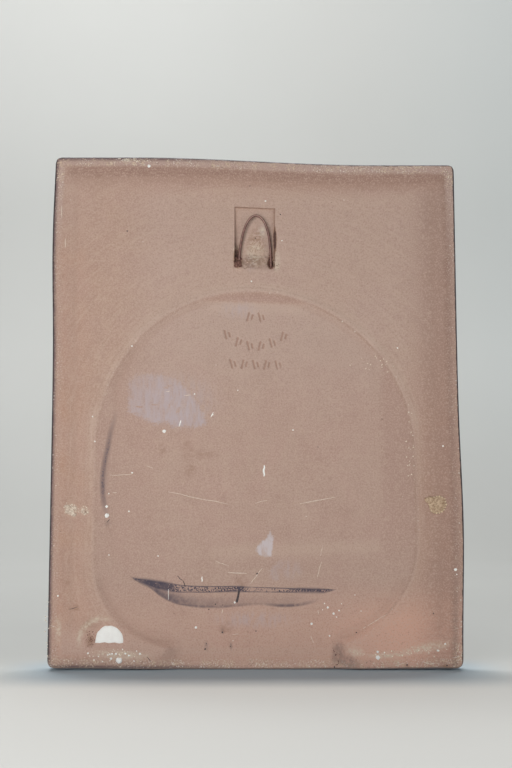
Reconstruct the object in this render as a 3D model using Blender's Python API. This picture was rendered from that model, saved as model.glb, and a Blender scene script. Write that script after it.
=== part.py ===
"""Decorative stoneware wall plaque with a wire loop at the back, made to hang on a nail.

Units are metres. +Z is up, +Y points to the wall (the plain clay back) and -Y out into the room
(the glazed relief). The origin is the underside of the wire loop's crown, where the nail bears.
Seen from behind, +X is on the left.
"""
import math

import bpy
import numpy as np

# Outline of the pressed body: a hand-trimmed rectangle
WIDTH = 0.2312
HEIGHT = 0.2886
HANG_DROP = 0.0324
CORNER_RADIUS = 0.0040
TOP_SLANT = 0.0047
BOTTOM_SAG = 0.0011
LEFT_SWELL = 0.0016
RIGHT_SWELL = 0.0018
RIGHT_INSET = 0.0007

# Where the outline swells and slants, as shares of its height down or of its width across
LEFT_SWELL_AT = 0.17
LEFT_SWELL_SPAN = 0.16
RIGHT_SWELL_AT = 0.73
RIGHT_SWELL_SPAN = 0.17
SLANT_START = 0.2
SLANT_SPAN = 0.6

# Section through the body
PANEL_THICKNESS = 0.0090
RIM_LIFT = 0.0038
LAND_WIDTH = 0.0045
COVE_WIDTH = 0.0095
LEFT_DISH = 0.0240
RIGHT_DISH = 0.0360
DISH_SHARE = 0.36
BACK_ROUND = 0.0014
FRONT_ROUND = 0.0032

# Low roll along the foot, which stops at both sides of the open channel
ROLL_LIFT = 0.0024
ROLL_CREST = 0.0090
ROLL_REACH = 0.0270
ROLL_FALL = 0.0017

# Round-topped hollow in the back and the channel from it to the bottom edge
SIDE_MARGIN = 0.0250
HOLLOW_DROP = 0.0435
HOLLOW_SHIFT = 0.0005
HOLLOW_DEPTH = 0.0020
HOLLOW_FOOT = 0.0120
LEFT_FOOT_RADIUS = 0.0457
RIGHT_FOOT_RADIUS = 0.0580
WALL_RUN = 0.0034
SLOPE_RUN = 0.0220
SLOPE_FADE = 0.0150
BEAD_LIFT = 0.0003
BEAD_OFFSET = 0.0012
BEAD_WIDTH = 0.0012
BEAD_FADE = 0.5
CHANNEL_LEFT = 0.0420
CHANNEL_RIGHT = 0.0440
CHANNEL_SPREAD = 0.0165
CHANNEL_NARROW = 0.0055
CHANNEL_TAPER = 0.0180

# Flat floor inside the hollow; from it the ground slopes up to the hollow's edge
FLOOR_LEFT = 0.0800
FLOOR_RIGHT = 0.0680
FLOOR_TOP = 0.0510
FLOOR_FOOT = 0.0600
FLOOR_RISE = 0.020

# Relief on the front: a round head of leaves on a short broad stem
RELIEF_MARGIN = 0.0060
RELIEF_RUN = 0.0090
RELIEF_RISE = 0.0050
CROWN_RISE = 0.0030
LEAF_COUNT = 14
LEAF_ROWS = 2
LEAF_LENGTH = 0.0280
LEAF_RISE = 0.0036
VEIN_DEPTH = 0.0012
BOSS_RISE = 0.0022

# Shape of one leaf, as shares of its length, of its rise or of the turn that it fills
LEAF_SWELL = 0.9
LEAF_ROOT = 0.12
LEAF_TIP = 0.000001
LEAF_FALL = 0.75
LEAF_START = 0.05
LEAF_END = 1.05
LEAF_BLEND = 0.1
VEIN_WIDTH = 0.07
BOSS_RUN = 0.35

# Wire loop, its pocket and the two holes that it is set in
WIRE_RADIUS = 0.0007
LOOP_STAND = 0.0005
LOOP_HEIGHT = 0.0300
LOOP_LEFT = 0.0098
LOOP_RIGHT = 0.0087
LEFT_BEND = 2.1
RIGHT_BEND = 2.8
LOOP_LEAN = 0.0030
LEAN_SHARE = 0.85
SET_DEPTH = 0.0070
SET_CLEARANCE = 0.0003
POCKET_SIDE_GAP = 0.0016
POCKET_HEAD_GAP = 0.0042
POCKET_HEAD_DEPTH = 0.0014
POCKET_FOOT_DEPTH = 0.0040
POCKET_RAMP = 0.0090
POCKET_DRAFT = 0.0004

# Shallow strokes pressed into the floor of the hollow in three rows
STROKE_LENGTH = 0.0057
STROKE_WIDTH = 0.0009
STROKE_DEPTH = 0.0005
STROKE_SPACING = 0.0022
STROKE_LEAN = math.radians(14)
SHORT_STROKE = 0.6
ROW_STEP = 0.0065
TOP_ROW_DROP = 0.0580
ARC_ROW_DROP = 0.0750
ARC_ROW_RISE = 0.0090
LOW_ROW_DROP = 0.0855

# Places worked out from the sizes above
HALF_WIDTH = WIDTH / 2
TOP_Z = HANG_DROP
BOTTOM_Z = TOP_Z - HEIGHT
PANEL_BACK = -LOOP_STAND
PANEL_FRONT = PANEL_BACK - PANEL_THICKNESS
HOLLOW_RADIUS = HALF_WIDTH - SIDE_MARGIN
HOLLOW_Z = -HOLLOW_DROP - HOLLOW_RADIUS
HOLLOW_FOOT_Z = BOTTOM_Z + HOLLOW_FOOT
LEAF_TURN = 2 * math.pi / LEAF_COUNT
POCKET_FOOT_Z = -LOOP_HEIGHT - WIRE_RADIUS
POCKET_HEAD_Z = 2 * WIRE_RADIUS + POCKET_HEAD_GAP
STROKE_ROWS = ((2, TOP_ROW_DROP, 0.0), (6, ARC_ROW_DROP, ARC_ROW_RISE), (5, LOW_ROW_DROP, 0.0))

# Fineness of the mesh
RAYS_PER_LEAF = 6
RAY_SPACING = 0.3
CORNER_STEPS = 3
HOLE_SIDES = 16
LOOP_STEPS = 15
WIRE_SIDE_STEPS = 2
REACH_STEPS = 40
SHARP_ANGLE = math.radians(40)
FAR = 2 * HEIGHT

# Where the rings of the mesh run, as shares of the stretch that each list names
EDGE_SHARES = (1.0, 0.3, 0.0)
CHANNEL_SIDE_SHARES = (0.0, 0.5, 1.0)
FLOOR_SHARE = 0.5
FLOOR_LIMIT = 0.97
SLOPE_SHARE = 0.3
BEAD_LIMIT = 0.25
BEAD_FOOT = 2.2
GROUND_SHARE = 0.7
COVE_SHARES = (1.0, 0.5, 0.0)
FOOT_SHARE = 0.75
BOSS_SHARE = 0.2
LEAF_SHARES = (2.35, 2.05, 1.95, 1.7, 1.4, 1.05, 0.95, 0.7, 0.4, 0.15)
FIELD_SHARES = (0.0, 0.15, 0.30, 0.62)


def ease(t):
    """Smooth step from 0 to 1."""
    t = np.clip(t, 0.0, 1.0)
    return t * t * (3.0 - 2.0 * t)


def bump(t, centre, width):
    """Rounded hill of height 1."""
    return np.exp(-(((t - centre) / width) ** 2))


def warp(x, z):
    """Moves a point of the true rectangle to the plaque's hand-trimmed, slightly crooked outline."""
    down = (TOP_Z - z) / HEIGHT
    across = 0.5 - x / WIDTH
    left = LEFT_SWELL * bump(down, LEFT_SWELL_AT, LEFT_SWELL_SPAN)
    right = RIGHT_SWELL * bump(down, RIGHT_SWELL_AT, RIGHT_SWELL_SPAN) - RIGHT_INSET
    side = np.where(x > 0, left, -right) * np.abs(x) / HALF_WIDTH
    top = TOP_SLANT * (0.5 - ease((across - SLANT_START) / SLANT_SPAN))
    bottom = -BOTTOM_SAG * np.sin(math.pi * np.clip(across, 0.0, 1.0))
    return x + side, z + (1.0 - down) * top + down * bottom


def inside_hollow(x, z):
    """Distance in from the edge of the hollow, negative outside it."""
    dx = x - HOLLOW_SHIFT
    radius = np.where(dx > 0, LEFT_FOOT_RADIUS, RIGHT_FOOT_RADIUS)
    corner_x = np.abs(dx) - (HOLLOW_RADIUS - radius)
    corner_z = HOLLOW_FOOT_Z + radius - z
    straight = np.minimum(HOLLOW_RADIUS - np.abs(dx), z - HOLLOW_FOOT_Z)
    rounded = radius - np.hypot(corner_x, corner_z)
    lower = np.where((corner_x > 0) & (corner_z > 0), rounded, straight)
    upper = HOLLOW_RADIUS - np.hypot(dx, z - HOLLOW_Z)
    return np.where(z > HOLLOW_Z, upper, lower)


def inside_floor(x, z):
    """Distance in from the sides of the flat floor, negative outside it."""
    across = np.minimum(FLOOR_LEFT - x, FLOOR_RIGHT + x)
    down = np.minimum(-FLOOR_TOP - z, z - BOTTOM_Z - FLOOR_FOOT)
    return np.minimum(across, down)


def slope_width(x, z):
    """Distance out from the floor onto the slopes beside and above it, fading out below it."""
    across = np.minimum(FLOOR_LEFT - x, FLOOR_RIGHT + x)
    fade = ease((z - BOTTOM_Z - FLOOR_FOOT) / SLOPE_FADE + 1)
    return np.maximum(-np.minimum(across, -FLOOR_TOP - z), 0.0) * fade


def channel_share(x, z, margin):
    """1 in the channel below the hollow, easing to 0 up its splayed sides."""
    height = (z - BOTTOM_Z) / CHANNEL_TAPER
    run = CHANNEL_SPREAD + (CHANNEL_NARROW - CHANNEL_SPREAD) * ease(height)
    left = ease((CHANNEL_LEFT + margin + run - x) / run)
    right = ease((CHANNEL_RIGHT + margin + run + x) / run)
    return left * right * ease((HOLLOW_Z - z) / CHANNEL_TAPER)


def rim_share(gap, dish):
    """1 on the flat land of the rim, easing to 0 down the cove and across the dished panel."""
    inner = gap - LAND_WIDTH
    return (1 - DISH_SHARE) * (1 - ease(inner / COVE_WIDTH)) + DISH_SHARE * (1 - ease(inner / dish))


def back_level(x, z):
    """y of the back surface, away from the rounded outer edge."""
    left_rim = rim_share(HALF_WIDTH - x, LEFT_DISH)
    right_rim = rim_share(HALF_WIDTH + x, RIGHT_DISH)
    top_rim = rim_share(TOP_Z - z, LEFT_DISH)
    height = z - BOTTOM_Z
    crest = ease((ROLL_REACH - height) / (ROLL_REACH - ROLL_CREST)) * ROLL_LIFT / RIM_LIFT
    rim = 1 - (1 - left_rim) * (1 - right_rim) * (1 - top_rim) * (1 - crest)
    fall = ROLL_FALL * np.clip(1 - height / ROLL_CREST, 0.0, 1.0) ** 2
    edge = inside_hollow(x, z)
    upper = ease((z - HOLLOW_Z) / HOLLOW_RADIUS + BEAD_FADE)
    bead = BEAD_LIFT * bump(edge, -BEAD_OFFSET, BEAD_WIDTH) * upper
    beyond = slope_width(x, z)
    run = np.clip(edge + beyond, WALL_RUN, SLOPE_RUN)
    hollow = 1 - (1 - np.clip(edge / run, 0.0, 1.0)) * (1 - channel_share(x, z, 0.0))
    floor = HOLLOW_DEPTH - FLOOR_RISE * np.minimum(beyond, SIDE_MARGIN)
    return PANEL_BACK + (RIM_LIFT * rim - fall + bead) * (1 - hollow) - floor * hollow


def leaf_relief(edge, angle):
    """Height of two rows of broad pointed leaves round a boss, with a vein down each leaf."""
    total = np.zeros_like(edge)
    for row in range(LEAF_ROWS):
        along = edge / LEAF_LENGTH - row
        phase = angle / LEAF_TURN + row / 2
        offset = phase - np.round(phase)
        width = np.sqrt(ease(along / LEAF_SWELL + LEAF_ROOT)) + LEAF_TIP
        body = np.sqrt(np.clip(1 - (2 * offset / width) ** 2, 0.0, 1.0))
        slope = 1 - LEAF_FALL * np.clip(along, 0.0, 1.0)
        lift = LEAF_RISE * body * slope - VEIN_DEPTH * bump(offset, 0.0, VEIN_WIDTH)
        total = total + lift * ease((along + LEAF_START) / LEAF_BLEND) * ease((LEAF_END - along) / LEAF_BLEND)
    boss = ease((edge / LEAF_LENGTH - LEAF_ROWS) / BOSS_RUN)
    return total + BOSS_RISE * boss


def front_level(x, z):
    """y of the front surface, away from the rounded outer edge."""
    edge = inside_hollow(x, z) + RELIEF_MARGIN
    head = ease(edge / RELIEF_RUN)
    stem = channel_share(x, z, RELIEF_MARGIN)
    raised = 1 - (1 - head) * (1 - stem)
    dome = CROWN_RISE * head * ease(edge / HOLLOW_RADIUS)
    angle = np.arctan2(x - HOLLOW_SHIFT, z - HOLLOW_Z)
    return PANEL_FRONT - RELIEF_RISE * raised - dome - leaf_relief(edge, angle) * head


def round_drop(share, radius):
    """How far a quarter-round edge has fallen at share of its radius in from the outline."""
    return radius * (1 - math.sqrt(1 - (1 - share) ** 2))


def reach(test, angle):
    """Distance from the hollow's centre, at this angle from straight up, to where test turns negative."""
    low = 0.0
    high = FAR
    for _ in range(REACH_STEPS):
        middle = (low + high) / 2
        x = HOLLOW_SHIFT + middle * math.sin(angle)
        z = HOLLOW_Z + middle * math.cos(angle)
        if test(x, z) > 0:
            low = middle
        else:
            high = middle
    return low


def point_at(test, angle):
    """The point where a ray at this angle leaves the shape that test describes."""
    distance = reach(test, angle)
    return HOLLOW_SHIFT + distance * math.sin(angle), HOLLOW_Z + distance * math.cos(angle)


def inside_outline(x, z):
    """Distance in from the rounded rectangle."""
    centre_z = (TOP_Z + BOTTOM_Z) / 2
    corner_x = abs(x) - (HALF_WIDTH - CORNER_RADIUS)
    corner_z = abs(z - centre_z) - (HEIGHT / 2 - CORNER_RADIUS)
    if corner_x > 0 and corner_z > 0:
        return CORNER_RADIUS - math.hypot(corner_x, corner_z)
    return CORNER_RADIUS - max(corner_x, corner_z)


def ray_angles():
    """Even rays, with more through the rounded corners and the channel's two sides."""
    fixed = []
    for side in (1, -1):
        for z, turn in ((TOP_Z - CORNER_RADIUS, 0), (BOTTOM_Z + CORNER_RADIUS, 1)):
            for step in range(CORNER_STEPS):
                swing = math.pi / 2 * (turn + step / (CORNER_STEPS - 1))
                corner_x = side * (HALF_WIDTH - CORNER_RADIUS + CORNER_RADIUS * math.sin(swing))
                corner_z = z + CORNER_RADIUS * math.cos(swing)
                fixed.append(math.atan2(corner_x - HOLLOW_SHIFT, corner_z - HOLLOW_Z))
    for side, inner in ((1, CHANNEL_LEFT), (-1, CHANNEL_RIGHT)):
        for share in CHANNEL_SIDE_SHARES:
            foot_x = side * (inner + share * CHANNEL_SPREAD)
            fixed.append(math.atan2(foot_x - HOLLOW_SHIFT, BOTTOM_Z - HOLLOW_Z))
    count = LEAF_COUNT * RAYS_PER_LEAF
    spread = 2 * math.pi / count
    even = [(i - count // 2) * spread for i in range(count)]
    kept = [a for a in even if min(abs(a - f) for f in fixed) > RAY_SPACING * spread]
    return sorted(kept + fixed)


def inset_point(point, side, foot):
    """The point of a smaller rectangle, in by side at the sides and top, and by foot at the bottom."""
    x, z = point
    scaled_x = x * (HALF_WIDTH - side) / HALF_WIDTH
    if z > HOLLOW_Z:
        return scaled_x, HOLLOW_Z + (z - HOLLOW_Z) * (TOP_Z - side - HOLLOW_Z) / (TOP_Z - HOLLOW_Z)
    return scaled_x, HOLLOW_Z + (z - HOLLOW_Z) * (HOLLOW_Z - BOTTOM_Z - foot) / (HOLLOW_Z - BOTTOM_Z)


def between(a, b, share):
    """Point part of the way from a to b."""
    return a[0] + (b[0] - a[0]) * share, a[1] + (b[1] - a[1]) * share


def ray_stations(angle):
    """Points of one ray on the back and on the front, from the centre out, with their edge insets."""
    outline = point_at(inside_outline, angle)
    edge = point_at(inside_hollow, angle)
    centre = (HOLLOW_SHIFT, HOLLOW_Z)
    cove = LAND_WIDTH + COVE_WIDTH
    foot_scale = FOOT_SHARE * HOLLOW_FOOT / cove
    cove_foot = inset_point(outline, cove, cove * foot_scale)
    wall_foot = point_at(lambda x, z: inside_hollow(x, z) - WALL_RUN, angle)
    wall_middle = point_at(lambda x, z: inside_hollow(x, z) - WALL_RUN / 2, angle)
    foot_reach = math.dist(centre, wall_foot)
    floor_share = min(reach(inside_floor, angle) / foot_reach, FLOOR_LIMIT)
    floor_edge = between(centre, wall_foot, floor_share)
    slope_reach = reach(lambda x, z: inside_hollow(x, z) - SLOPE_RUN, angle)
    slope_share = max(slope_reach / foot_reach, floor_share + SLOPE_SHARE * (1 - floor_share))
    slope_foot = between(centre, wall_foot, slope_share)
    back = [between(centre, floor_edge, FLOOR_SHARE), floor_edge, slope_foot, wall_foot, wall_middle, edge]
    bead_share = min(BEAD_OFFSET / math.dist(edge, cove_foot), BEAD_LIMIT)
    ground_shares = (bead_share, BEAD_FOOT * bead_share, GROUND_SHARE)
    back += [between(edge, cove_foot, share) for share in ground_shares]
    for share in COVE_SHARES:
        inset = LAND_WIDTH + share * COVE_WIDTH
        back.append(inset_point(outline, inset, inset * foot_scale))
    rim = [inset_point(outline, share * BACK_ROUND, share * BACK_ROUND) for share in EDGE_SHARES]
    front = [between(centre, edge, BOSS_SHARE)]
    for share in LEAF_SHARES:
        inset = share * LEAF_LENGTH - RELIEF_MARGIN
        front.append(point_at(lambda x, z: inside_hollow(x, z) - inset, angle))
    field = inset_point(outline, FRONT_ROUND, FRONT_ROUND)
    front += [between(edge, field, share) for share in FIELD_SHARES]
    lip = [inset_point(outline, share * FRONT_ROUND, share * FRONT_ROUND) for share in EDGE_SHARES]
    return back, rim, front, lip


def add_ring(vertices, points, level, drop=0.0):
    """Adds one closed ring of points on the given surface, moved along Y by drop."""
    start = len(vertices)
    x = np.array([p[0] for p in points])
    z = np.array([p[1] for p in points])
    y = level(x, z) + drop
    real_x, real_z = warp(x, z)
    for values in zip(real_x, y, real_z):
        vertices.append(tuple(float(v) for v in values))
    return list(range(start, start + len(points)))


def bridge(faces, inner, outer):
    """Quads between two rings of the same count, facing the same way all round."""
    count = len(inner)
    for i in range(count):
        j = (i + 1) % count
        faces.append((inner[i], inner[j], outer[j], outer[i]))


def build_body_mesh():
    """The pressed clay body before its pocket, holes and strokes are cut."""
    rays = [ray_stations(angle) for angle in ray_angles()]
    vertices = []
    rings = []
    for i in range(len(rays[0][0])):
        rings.append(add_ring(vertices, [ray[0][i] for ray in rays], back_level))
    for i, share in enumerate(EDGE_SHARES):
        drop = -round_drop(share, BACK_ROUND)
        rings.append(add_ring(vertices, [ray[1][i] for ray in rays], back_level, drop))
    for i, share in reversed(list(enumerate(EDGE_SHARES))):
        drop = round_drop(share, FRONT_ROUND)
        rings.append(add_ring(vertices, [ray[3][i] for ray in rays], front_level, drop))
    for i in reversed(range(len(rays[0][2]))):
        rings.append(add_ring(vertices, [ray[2][i] for ray in rays], front_level))
    faces = []
    for inner, outer in zip(rings, rings[1:]):
        bridge(faces, inner, outer)
    close_ring(vertices, faces, rings[0], back_level, False)
    close_ring(vertices, faces, rings[-1], front_level, True)
    return make_mesh("plaque_body", vertices, faces)


def close_ring(vertices, faces, ring, level, flip):
    """A fan of triangles from the middle of the hollow to the innermost ring."""
    pole = len(vertices)
    height = level(np.array([HOLLOW_SHIFT]), np.array([HOLLOW_Z]))[0]
    vertices.append((HOLLOW_SHIFT, float(height), HOLLOW_Z))
    for i, start in enumerate(ring):
        end = ring[(i + 1) % len(ring)]
        faces.append((pole, start, end) if flip else (pole, end, start))


def make_mesh(name, vertices, faces):
    """A mesh from points and faces."""
    mesh = bpy.data.meshes.new(name)
    mesh.from_pydata(vertices, [], faces)
    mesh.validate()
    return mesh


def add_object(name, data, parent=None):
    """Links a named object into the scene."""
    item = bpy.data.objects.new(name, data)
    bpy.context.scene.collection.objects.link(item)
    item.parent = parent
    return item


def make_material(name, colour, roughness, metallic):
    """A plain Principled material."""
    material = bpy.data.materials.new(name)
    material.use_nodes = True
    shader = material.node_tree.nodes["Principled BSDF"]
    shader.inputs["Base Color"].default_value = (*colour, 1.0)
    shader.inputs["Roughness"].default_value = roughness
    shader.inputs["Metallic"].default_value = metallic
    return material


def prism(section, low_x, high_x, draft):
    """Points and faces of a section in Y and Z drawn out along X, wider by draft where it leaves the clay."""
    outer = max(y for y, z in section)
    vertices = []
    for side, x in ((-1, low_x), (1, high_x)):
        for y, z in section:
            widen = draft if y == outer else 0.0
            vertices.append((x + side * widen, y, z))
    count = len(section)
    faces = [tuple(range(count)), tuple(range(2 * count - 1, count - 1, -1))]
    for i in range(count):
        j = (i + 1) % count
        faces.append((i, i + count, j + count, j))
    return vertices, faces


def pocket_cutter():
    """Wedge that cuts the loop's pocket: shallow at the head, deeper down, then ramped out at the foot."""
    outer = PANEL_BACK + RIM_LIFT
    slope = POCKET_RAMP / POCKET_FOOT_DEPTH
    section = [
        (outer, POCKET_FOOT_Z - RIM_LIFT * slope),
        (PANEL_BACK - POCKET_FOOT_DEPTH, POCKET_FOOT_Z + POCKET_RAMP),
        (PANEL_BACK - POCKET_HEAD_DEPTH, POCKET_HEAD_Z),
        (outer, POCKET_HEAD_Z),
    ]
    side = WIRE_RADIUS + POCKET_SIDE_GAP
    vertices, faces = prism(section, -LOOP_RIGHT - side, LOOP_LEFT + side, POCKET_DRAFT)
    return add_cutter("pocket_cutter", vertices, faces)


def setting_cutter():
    """Two round holes below the pocket that take the ends of the wire."""
    radius = WIRE_RADIUS + SET_CLEARANCE
    head = POCKET_FOOT_Z + POCKET_RAMP
    foot = -LOOP_HEIGHT - SET_DEPTH - SET_CLEARANCE
    vertices = []
    faces = []
    for x in (LOOP_LEFT, -LOOP_RIGHT):
        start = len(vertices)
        for z in (foot, head):
            for i in range(HOLE_SIDES):
                turn = 2 * math.pi * i / HOLE_SIDES
                vertices.append((x + radius * math.cos(turn), radius * math.sin(turn) - LOOP_LEAN, z))
        low = list(range(start, start + HOLE_SIDES))
        high = list(range(start + HOLE_SIDES, start + 2 * HOLE_SIDES))
        faces.append(tuple(reversed(low)))
        faces.append(tuple(high))
        for i in range(HOLE_SIDES):
            j = (i + 1) % HOLE_SIDES
            faces.append((low[i], low[j], high[j], high[i]))
    return add_cutter("setting_cutter", vertices, faces)


def stroke_places():
    """Centre and lean of each pressed mark: two marks, an arc of six, and a row of five."""
    places = []
    for row, (count, drop, rise) in enumerate(STROKE_ROWS):
        for i in range(count):
            share = i - (count - 1) / 2
            x = share * ROW_STEP
            z = -drop + rise * (2 * share / count) ** 2
            places.append((x, z, STROKE_LEAN * (-1) ** (i + row)))
    return places


def stroke_cutter():
    """Pairs of slanted strokes, one long and one short, pressed into the floor of the hollow."""
    floor = PANEL_BACK - HOLLOW_DEPTH
    vertices = []
    faces = []
    for x, z, lean in stroke_places():
        for side, share in ((1, 1.0), (-1, SHORT_STROKE)):
            centre_x = x + side * STROKE_SPACING / 2
            half_length = share * STROKE_LENGTH / 2
            section = [
                (floor + STROKE_DEPTH, -half_length),
                (floor - STROKE_DEPTH, -half_length + STROKE_DEPTH),
                (floor - STROKE_DEPTH, half_length - STROKE_DEPTH),
                (floor + STROKE_DEPTH, half_length),
            ]
            points, sides = prism(section, -STROKE_WIDTH / 2, STROKE_WIDTH / 2, 0.0)
            start = len(vertices)
            for px, py, pz in points:
                turned_x = centre_x + px * math.cos(lean) + pz * math.sin(lean)
                turned_z = z - px * math.sin(lean) + pz * math.cos(lean)
                vertices.append((turned_x, py, turned_z))
            faces += [tuple(start + index for index in face) for face in sides]
    return add_cutter("stroke_cutter", vertices, faces)


def add_cutter(name, vertices, faces):
    """A hidden closed shape that is taken away from the body."""
    mesh = make_mesh(name, vertices, faces)
    cutter = add_object(name, mesh)
    cutter.hide_render = True
    cutter.display_type = "WIRE"
    return cutter


def make_body(parent):
    """The stoneware body with its pocket, wire holes and strokes."""
    mesh = build_body_mesh()
    mesh.materials.append(make_material("stoneware_clay", (0.42, 0.27, 0.20), 0.82, 0.0))
    body = add_object("plaque_body", mesh, parent)
    for cutter in (pocket_cutter(), setting_cutter(), stroke_cutter()):
        modifier = body.modifiers.new(cutter.name, "BOOLEAN")
        modifier.operation = "DIFFERENCE"
        modifier.solver = "EXACT"
        modifier.object = cutter
    mesh.shade_smooth()
    mesh.set_sharp_from_angle(angle=SHARP_ANGLE)
    return body


def loop_points():
    """Centreline of the wire, from the end at +X over the crown to the end at -X."""
    height = LOOP_HEIGHT + WIRE_RADIUS
    left = []
    right = []
    for i in range(LOOP_STEPS + 1):
        turn = math.pi / 2 * i / LOOP_STEPS
        for arm, width, bend in ((left, LOOP_LEFT, LEFT_BEND), (right, -LOOP_RIGHT, RIGHT_BEND)):
            arm.append((width * math.cos(turn), -LOOP_HEIGHT + height * math.sin(turn) ** (2 / bend)))
    tail_steps = (SET_DEPTH, SET_DEPTH / 2)
    head = [(LOOP_LEFT, -LOOP_HEIGHT - step) for step in tail_steps]
    tail = [(-LOOP_RIGHT, -LOOP_HEIGHT - step) for step in reversed(tail_steps)]
    route = head + left + right[-2::-1] + tail
    lean_run = LOOP_HEIGHT * LEAN_SHARE
    return [(x, -LOOP_LEAN * float(ease(-z / lean_run)), z) for x, z in route]


def make_loop(parent):
    """The bent wire, as a round curve with closed ends."""
    curve = bpy.data.curves.new("hanging_loop", "CURVE")
    curve.dimensions = "3D"
    curve.bevel_depth = WIRE_RADIUS
    curve.bevel_resolution = WIRE_SIDE_STEPS
    curve.use_fill_caps = True
    points = loop_points()
    spline = curve.splines.new("POLY")
    spline.points.add(len(points) - 1)
    for point, place in zip(spline.points, points):
        point.co = (*place, 1.0)
    spline.use_smooth = True
    curve.materials.append(make_material("loop_wire", (0.16, 0.09, 0.07), 0.55, 0.6))
    return add_object("hanging_loop", curve, parent)


def main():
    """Clears the file and builds the plaque."""
    for item in list(bpy.data.objects):
        bpy.data.objects.remove(item, do_unlink=True)
    hanging_point = add_object("hanging_point", None)
    make_body(hanging_point)
    make_loop(hanging_point)


main()
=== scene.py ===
"""Looks of the stoneware wall plaque, seen from behind as in the photograph.

The back is bare red-brown clay with its marks and residues, the front and edges are glazed.
Units are metres. +Z is up, +Y points to the wall and the camera, so +X is on the picture's left.
"""
import math

import bpy
import numpy as np
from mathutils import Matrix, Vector


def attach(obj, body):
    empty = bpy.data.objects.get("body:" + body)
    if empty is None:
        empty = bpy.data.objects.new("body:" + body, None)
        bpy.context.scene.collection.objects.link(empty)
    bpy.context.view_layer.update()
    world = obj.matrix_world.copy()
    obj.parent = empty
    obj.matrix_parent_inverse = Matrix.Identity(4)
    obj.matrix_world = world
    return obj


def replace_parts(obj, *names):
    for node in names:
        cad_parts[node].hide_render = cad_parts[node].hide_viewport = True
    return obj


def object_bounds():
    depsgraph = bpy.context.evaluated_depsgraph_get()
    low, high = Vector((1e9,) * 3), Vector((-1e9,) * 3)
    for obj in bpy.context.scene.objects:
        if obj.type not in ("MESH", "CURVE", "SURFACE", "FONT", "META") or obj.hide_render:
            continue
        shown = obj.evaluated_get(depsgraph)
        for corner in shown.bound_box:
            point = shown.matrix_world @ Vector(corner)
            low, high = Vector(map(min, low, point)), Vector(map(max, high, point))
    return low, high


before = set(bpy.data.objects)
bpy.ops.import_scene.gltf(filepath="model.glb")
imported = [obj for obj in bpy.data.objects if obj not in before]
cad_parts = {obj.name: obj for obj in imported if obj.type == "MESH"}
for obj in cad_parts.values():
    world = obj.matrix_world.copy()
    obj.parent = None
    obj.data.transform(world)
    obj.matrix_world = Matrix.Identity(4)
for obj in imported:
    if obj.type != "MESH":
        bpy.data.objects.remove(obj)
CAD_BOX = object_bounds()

# The photograph's frame and the camera that fits it
PICTURE_WIDTH = 512
PICTURE_HEIGHT = 768
LENS_MM = 50.0
SENSOR_MM = 36.0
FOCAL_PX = LENS_MM / SENSOR_MM * PICTURE_HEIGHT
CAMERA_PLACE = (-0.0001, 0.6053, -0.1596)
CAMERA_PITCH = math.radians(5.86)

# Sizes of the CAD body, repeated here because its mesh is rebuilt finer
WIDTH = 0.2312
HEIGHT = 0.2886
HANG_DROP = 0.0324
CORNER_RADIUS = 0.0040
TOP_SLANT = 0.0047
BOTTOM_SAG = 0.0011
LEFT_SWELL = 0.0016
RIGHT_SWELL = 0.0018
RIGHT_INSET = 0.0007
PANEL_THICKNESS = 0.0090
RIM_LIFT = 0.0038
LAND_WIDTH = 0.0045
COVE_WIDTH = 0.0095
LEFT_DISH = 0.0240
RIGHT_DISH = 0.0360
DISH_SHARE = 0.36
BACK_ROUND = 0.0014
FRONT_ROUND = 0.0032
ROLL_LIFT = 0.0024
ROLL_CREST = 0.0090
ROLL_REACH = 0.0270
ROLL_FALL = 0.0017
SIDE_MARGIN = 0.0250
HOLLOW_DROP = 0.0435
HOLLOW_SHIFT = 0.0005
HOLLOW_DEPTH = 0.0020
HOLLOW_FOOT = 0.0120
LEFT_FOOT_RADIUS = 0.0457
RIGHT_FOOT_RADIUS = 0.0580
WALL_RUN = 0.0034
SLOPE_RUN = 0.0220
SLOPE_FADE = 0.0150
BEAD_LIFT = 0.0003
BEAD_OFFSET = 0.0012
BEAD_WIDTH = 0.0012
CHANNEL_LEFT = 0.0420
CHANNEL_RIGHT = 0.0440
CHANNEL_SPREAD = 0.0165
CHANNEL_NARROW = 0.0055
CHANNEL_TAPER = 0.0180
FLOOR_LEFT = 0.0800
FLOOR_RIGHT = 0.0680
FLOOR_TOP = 0.0510
FLOOR_FOOT = 0.0600
FLOOR_RISE = 0.020
RELIEF_MARGIN = 0.0060
RELIEF_RUN = 0.0090
RELIEF_RISE = 0.0050
CROWN_RISE = 0.0030
LEAF_COUNT = 14
LEAF_ROWS = 2
LEAF_LENGTH = 0.0280
LEAF_RISE = 0.0036
VEIN_DEPTH = 0.0012
BOSS_RISE = 0.0022
WIRE_RADIUS = 0.0007
LOOP_STAND = 0.0005
LOOP_HEIGHT = 0.0300
LOOP_LEFT = 0.0098
LOOP_RIGHT = 0.0087
LEFT_BEND = 2.1
RIGHT_BEND = 2.8
LOOP_LEAN = 0.0030
LEAN_SHARE = 0.85
SET_DEPTH = 0.0070
POCKET_SIDE_GAP = 0.0016
POCKET_HEAD_GAP = 0.0042
POCKET_HEAD_DEPTH = 0.0014
POCKET_FOOT_DEPTH = 0.0040
POCKET_RAMP = 0.0090
STROKE_LENGTH = 0.0057
STROKE_WIDTH = 0.0009
STROKE_DEPTH = 0.0005
STROKE_SPACING = 0.0022
STROKE_LEAN = math.radians(14)
SHORT_STROKE = 0.6
ROW_STEP = 0.0065
STROKE_ROWS = ((2, 0.0580, 0.0), (6, 0.0750, 0.0090), (5, 0.0855, 0.0))

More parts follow.
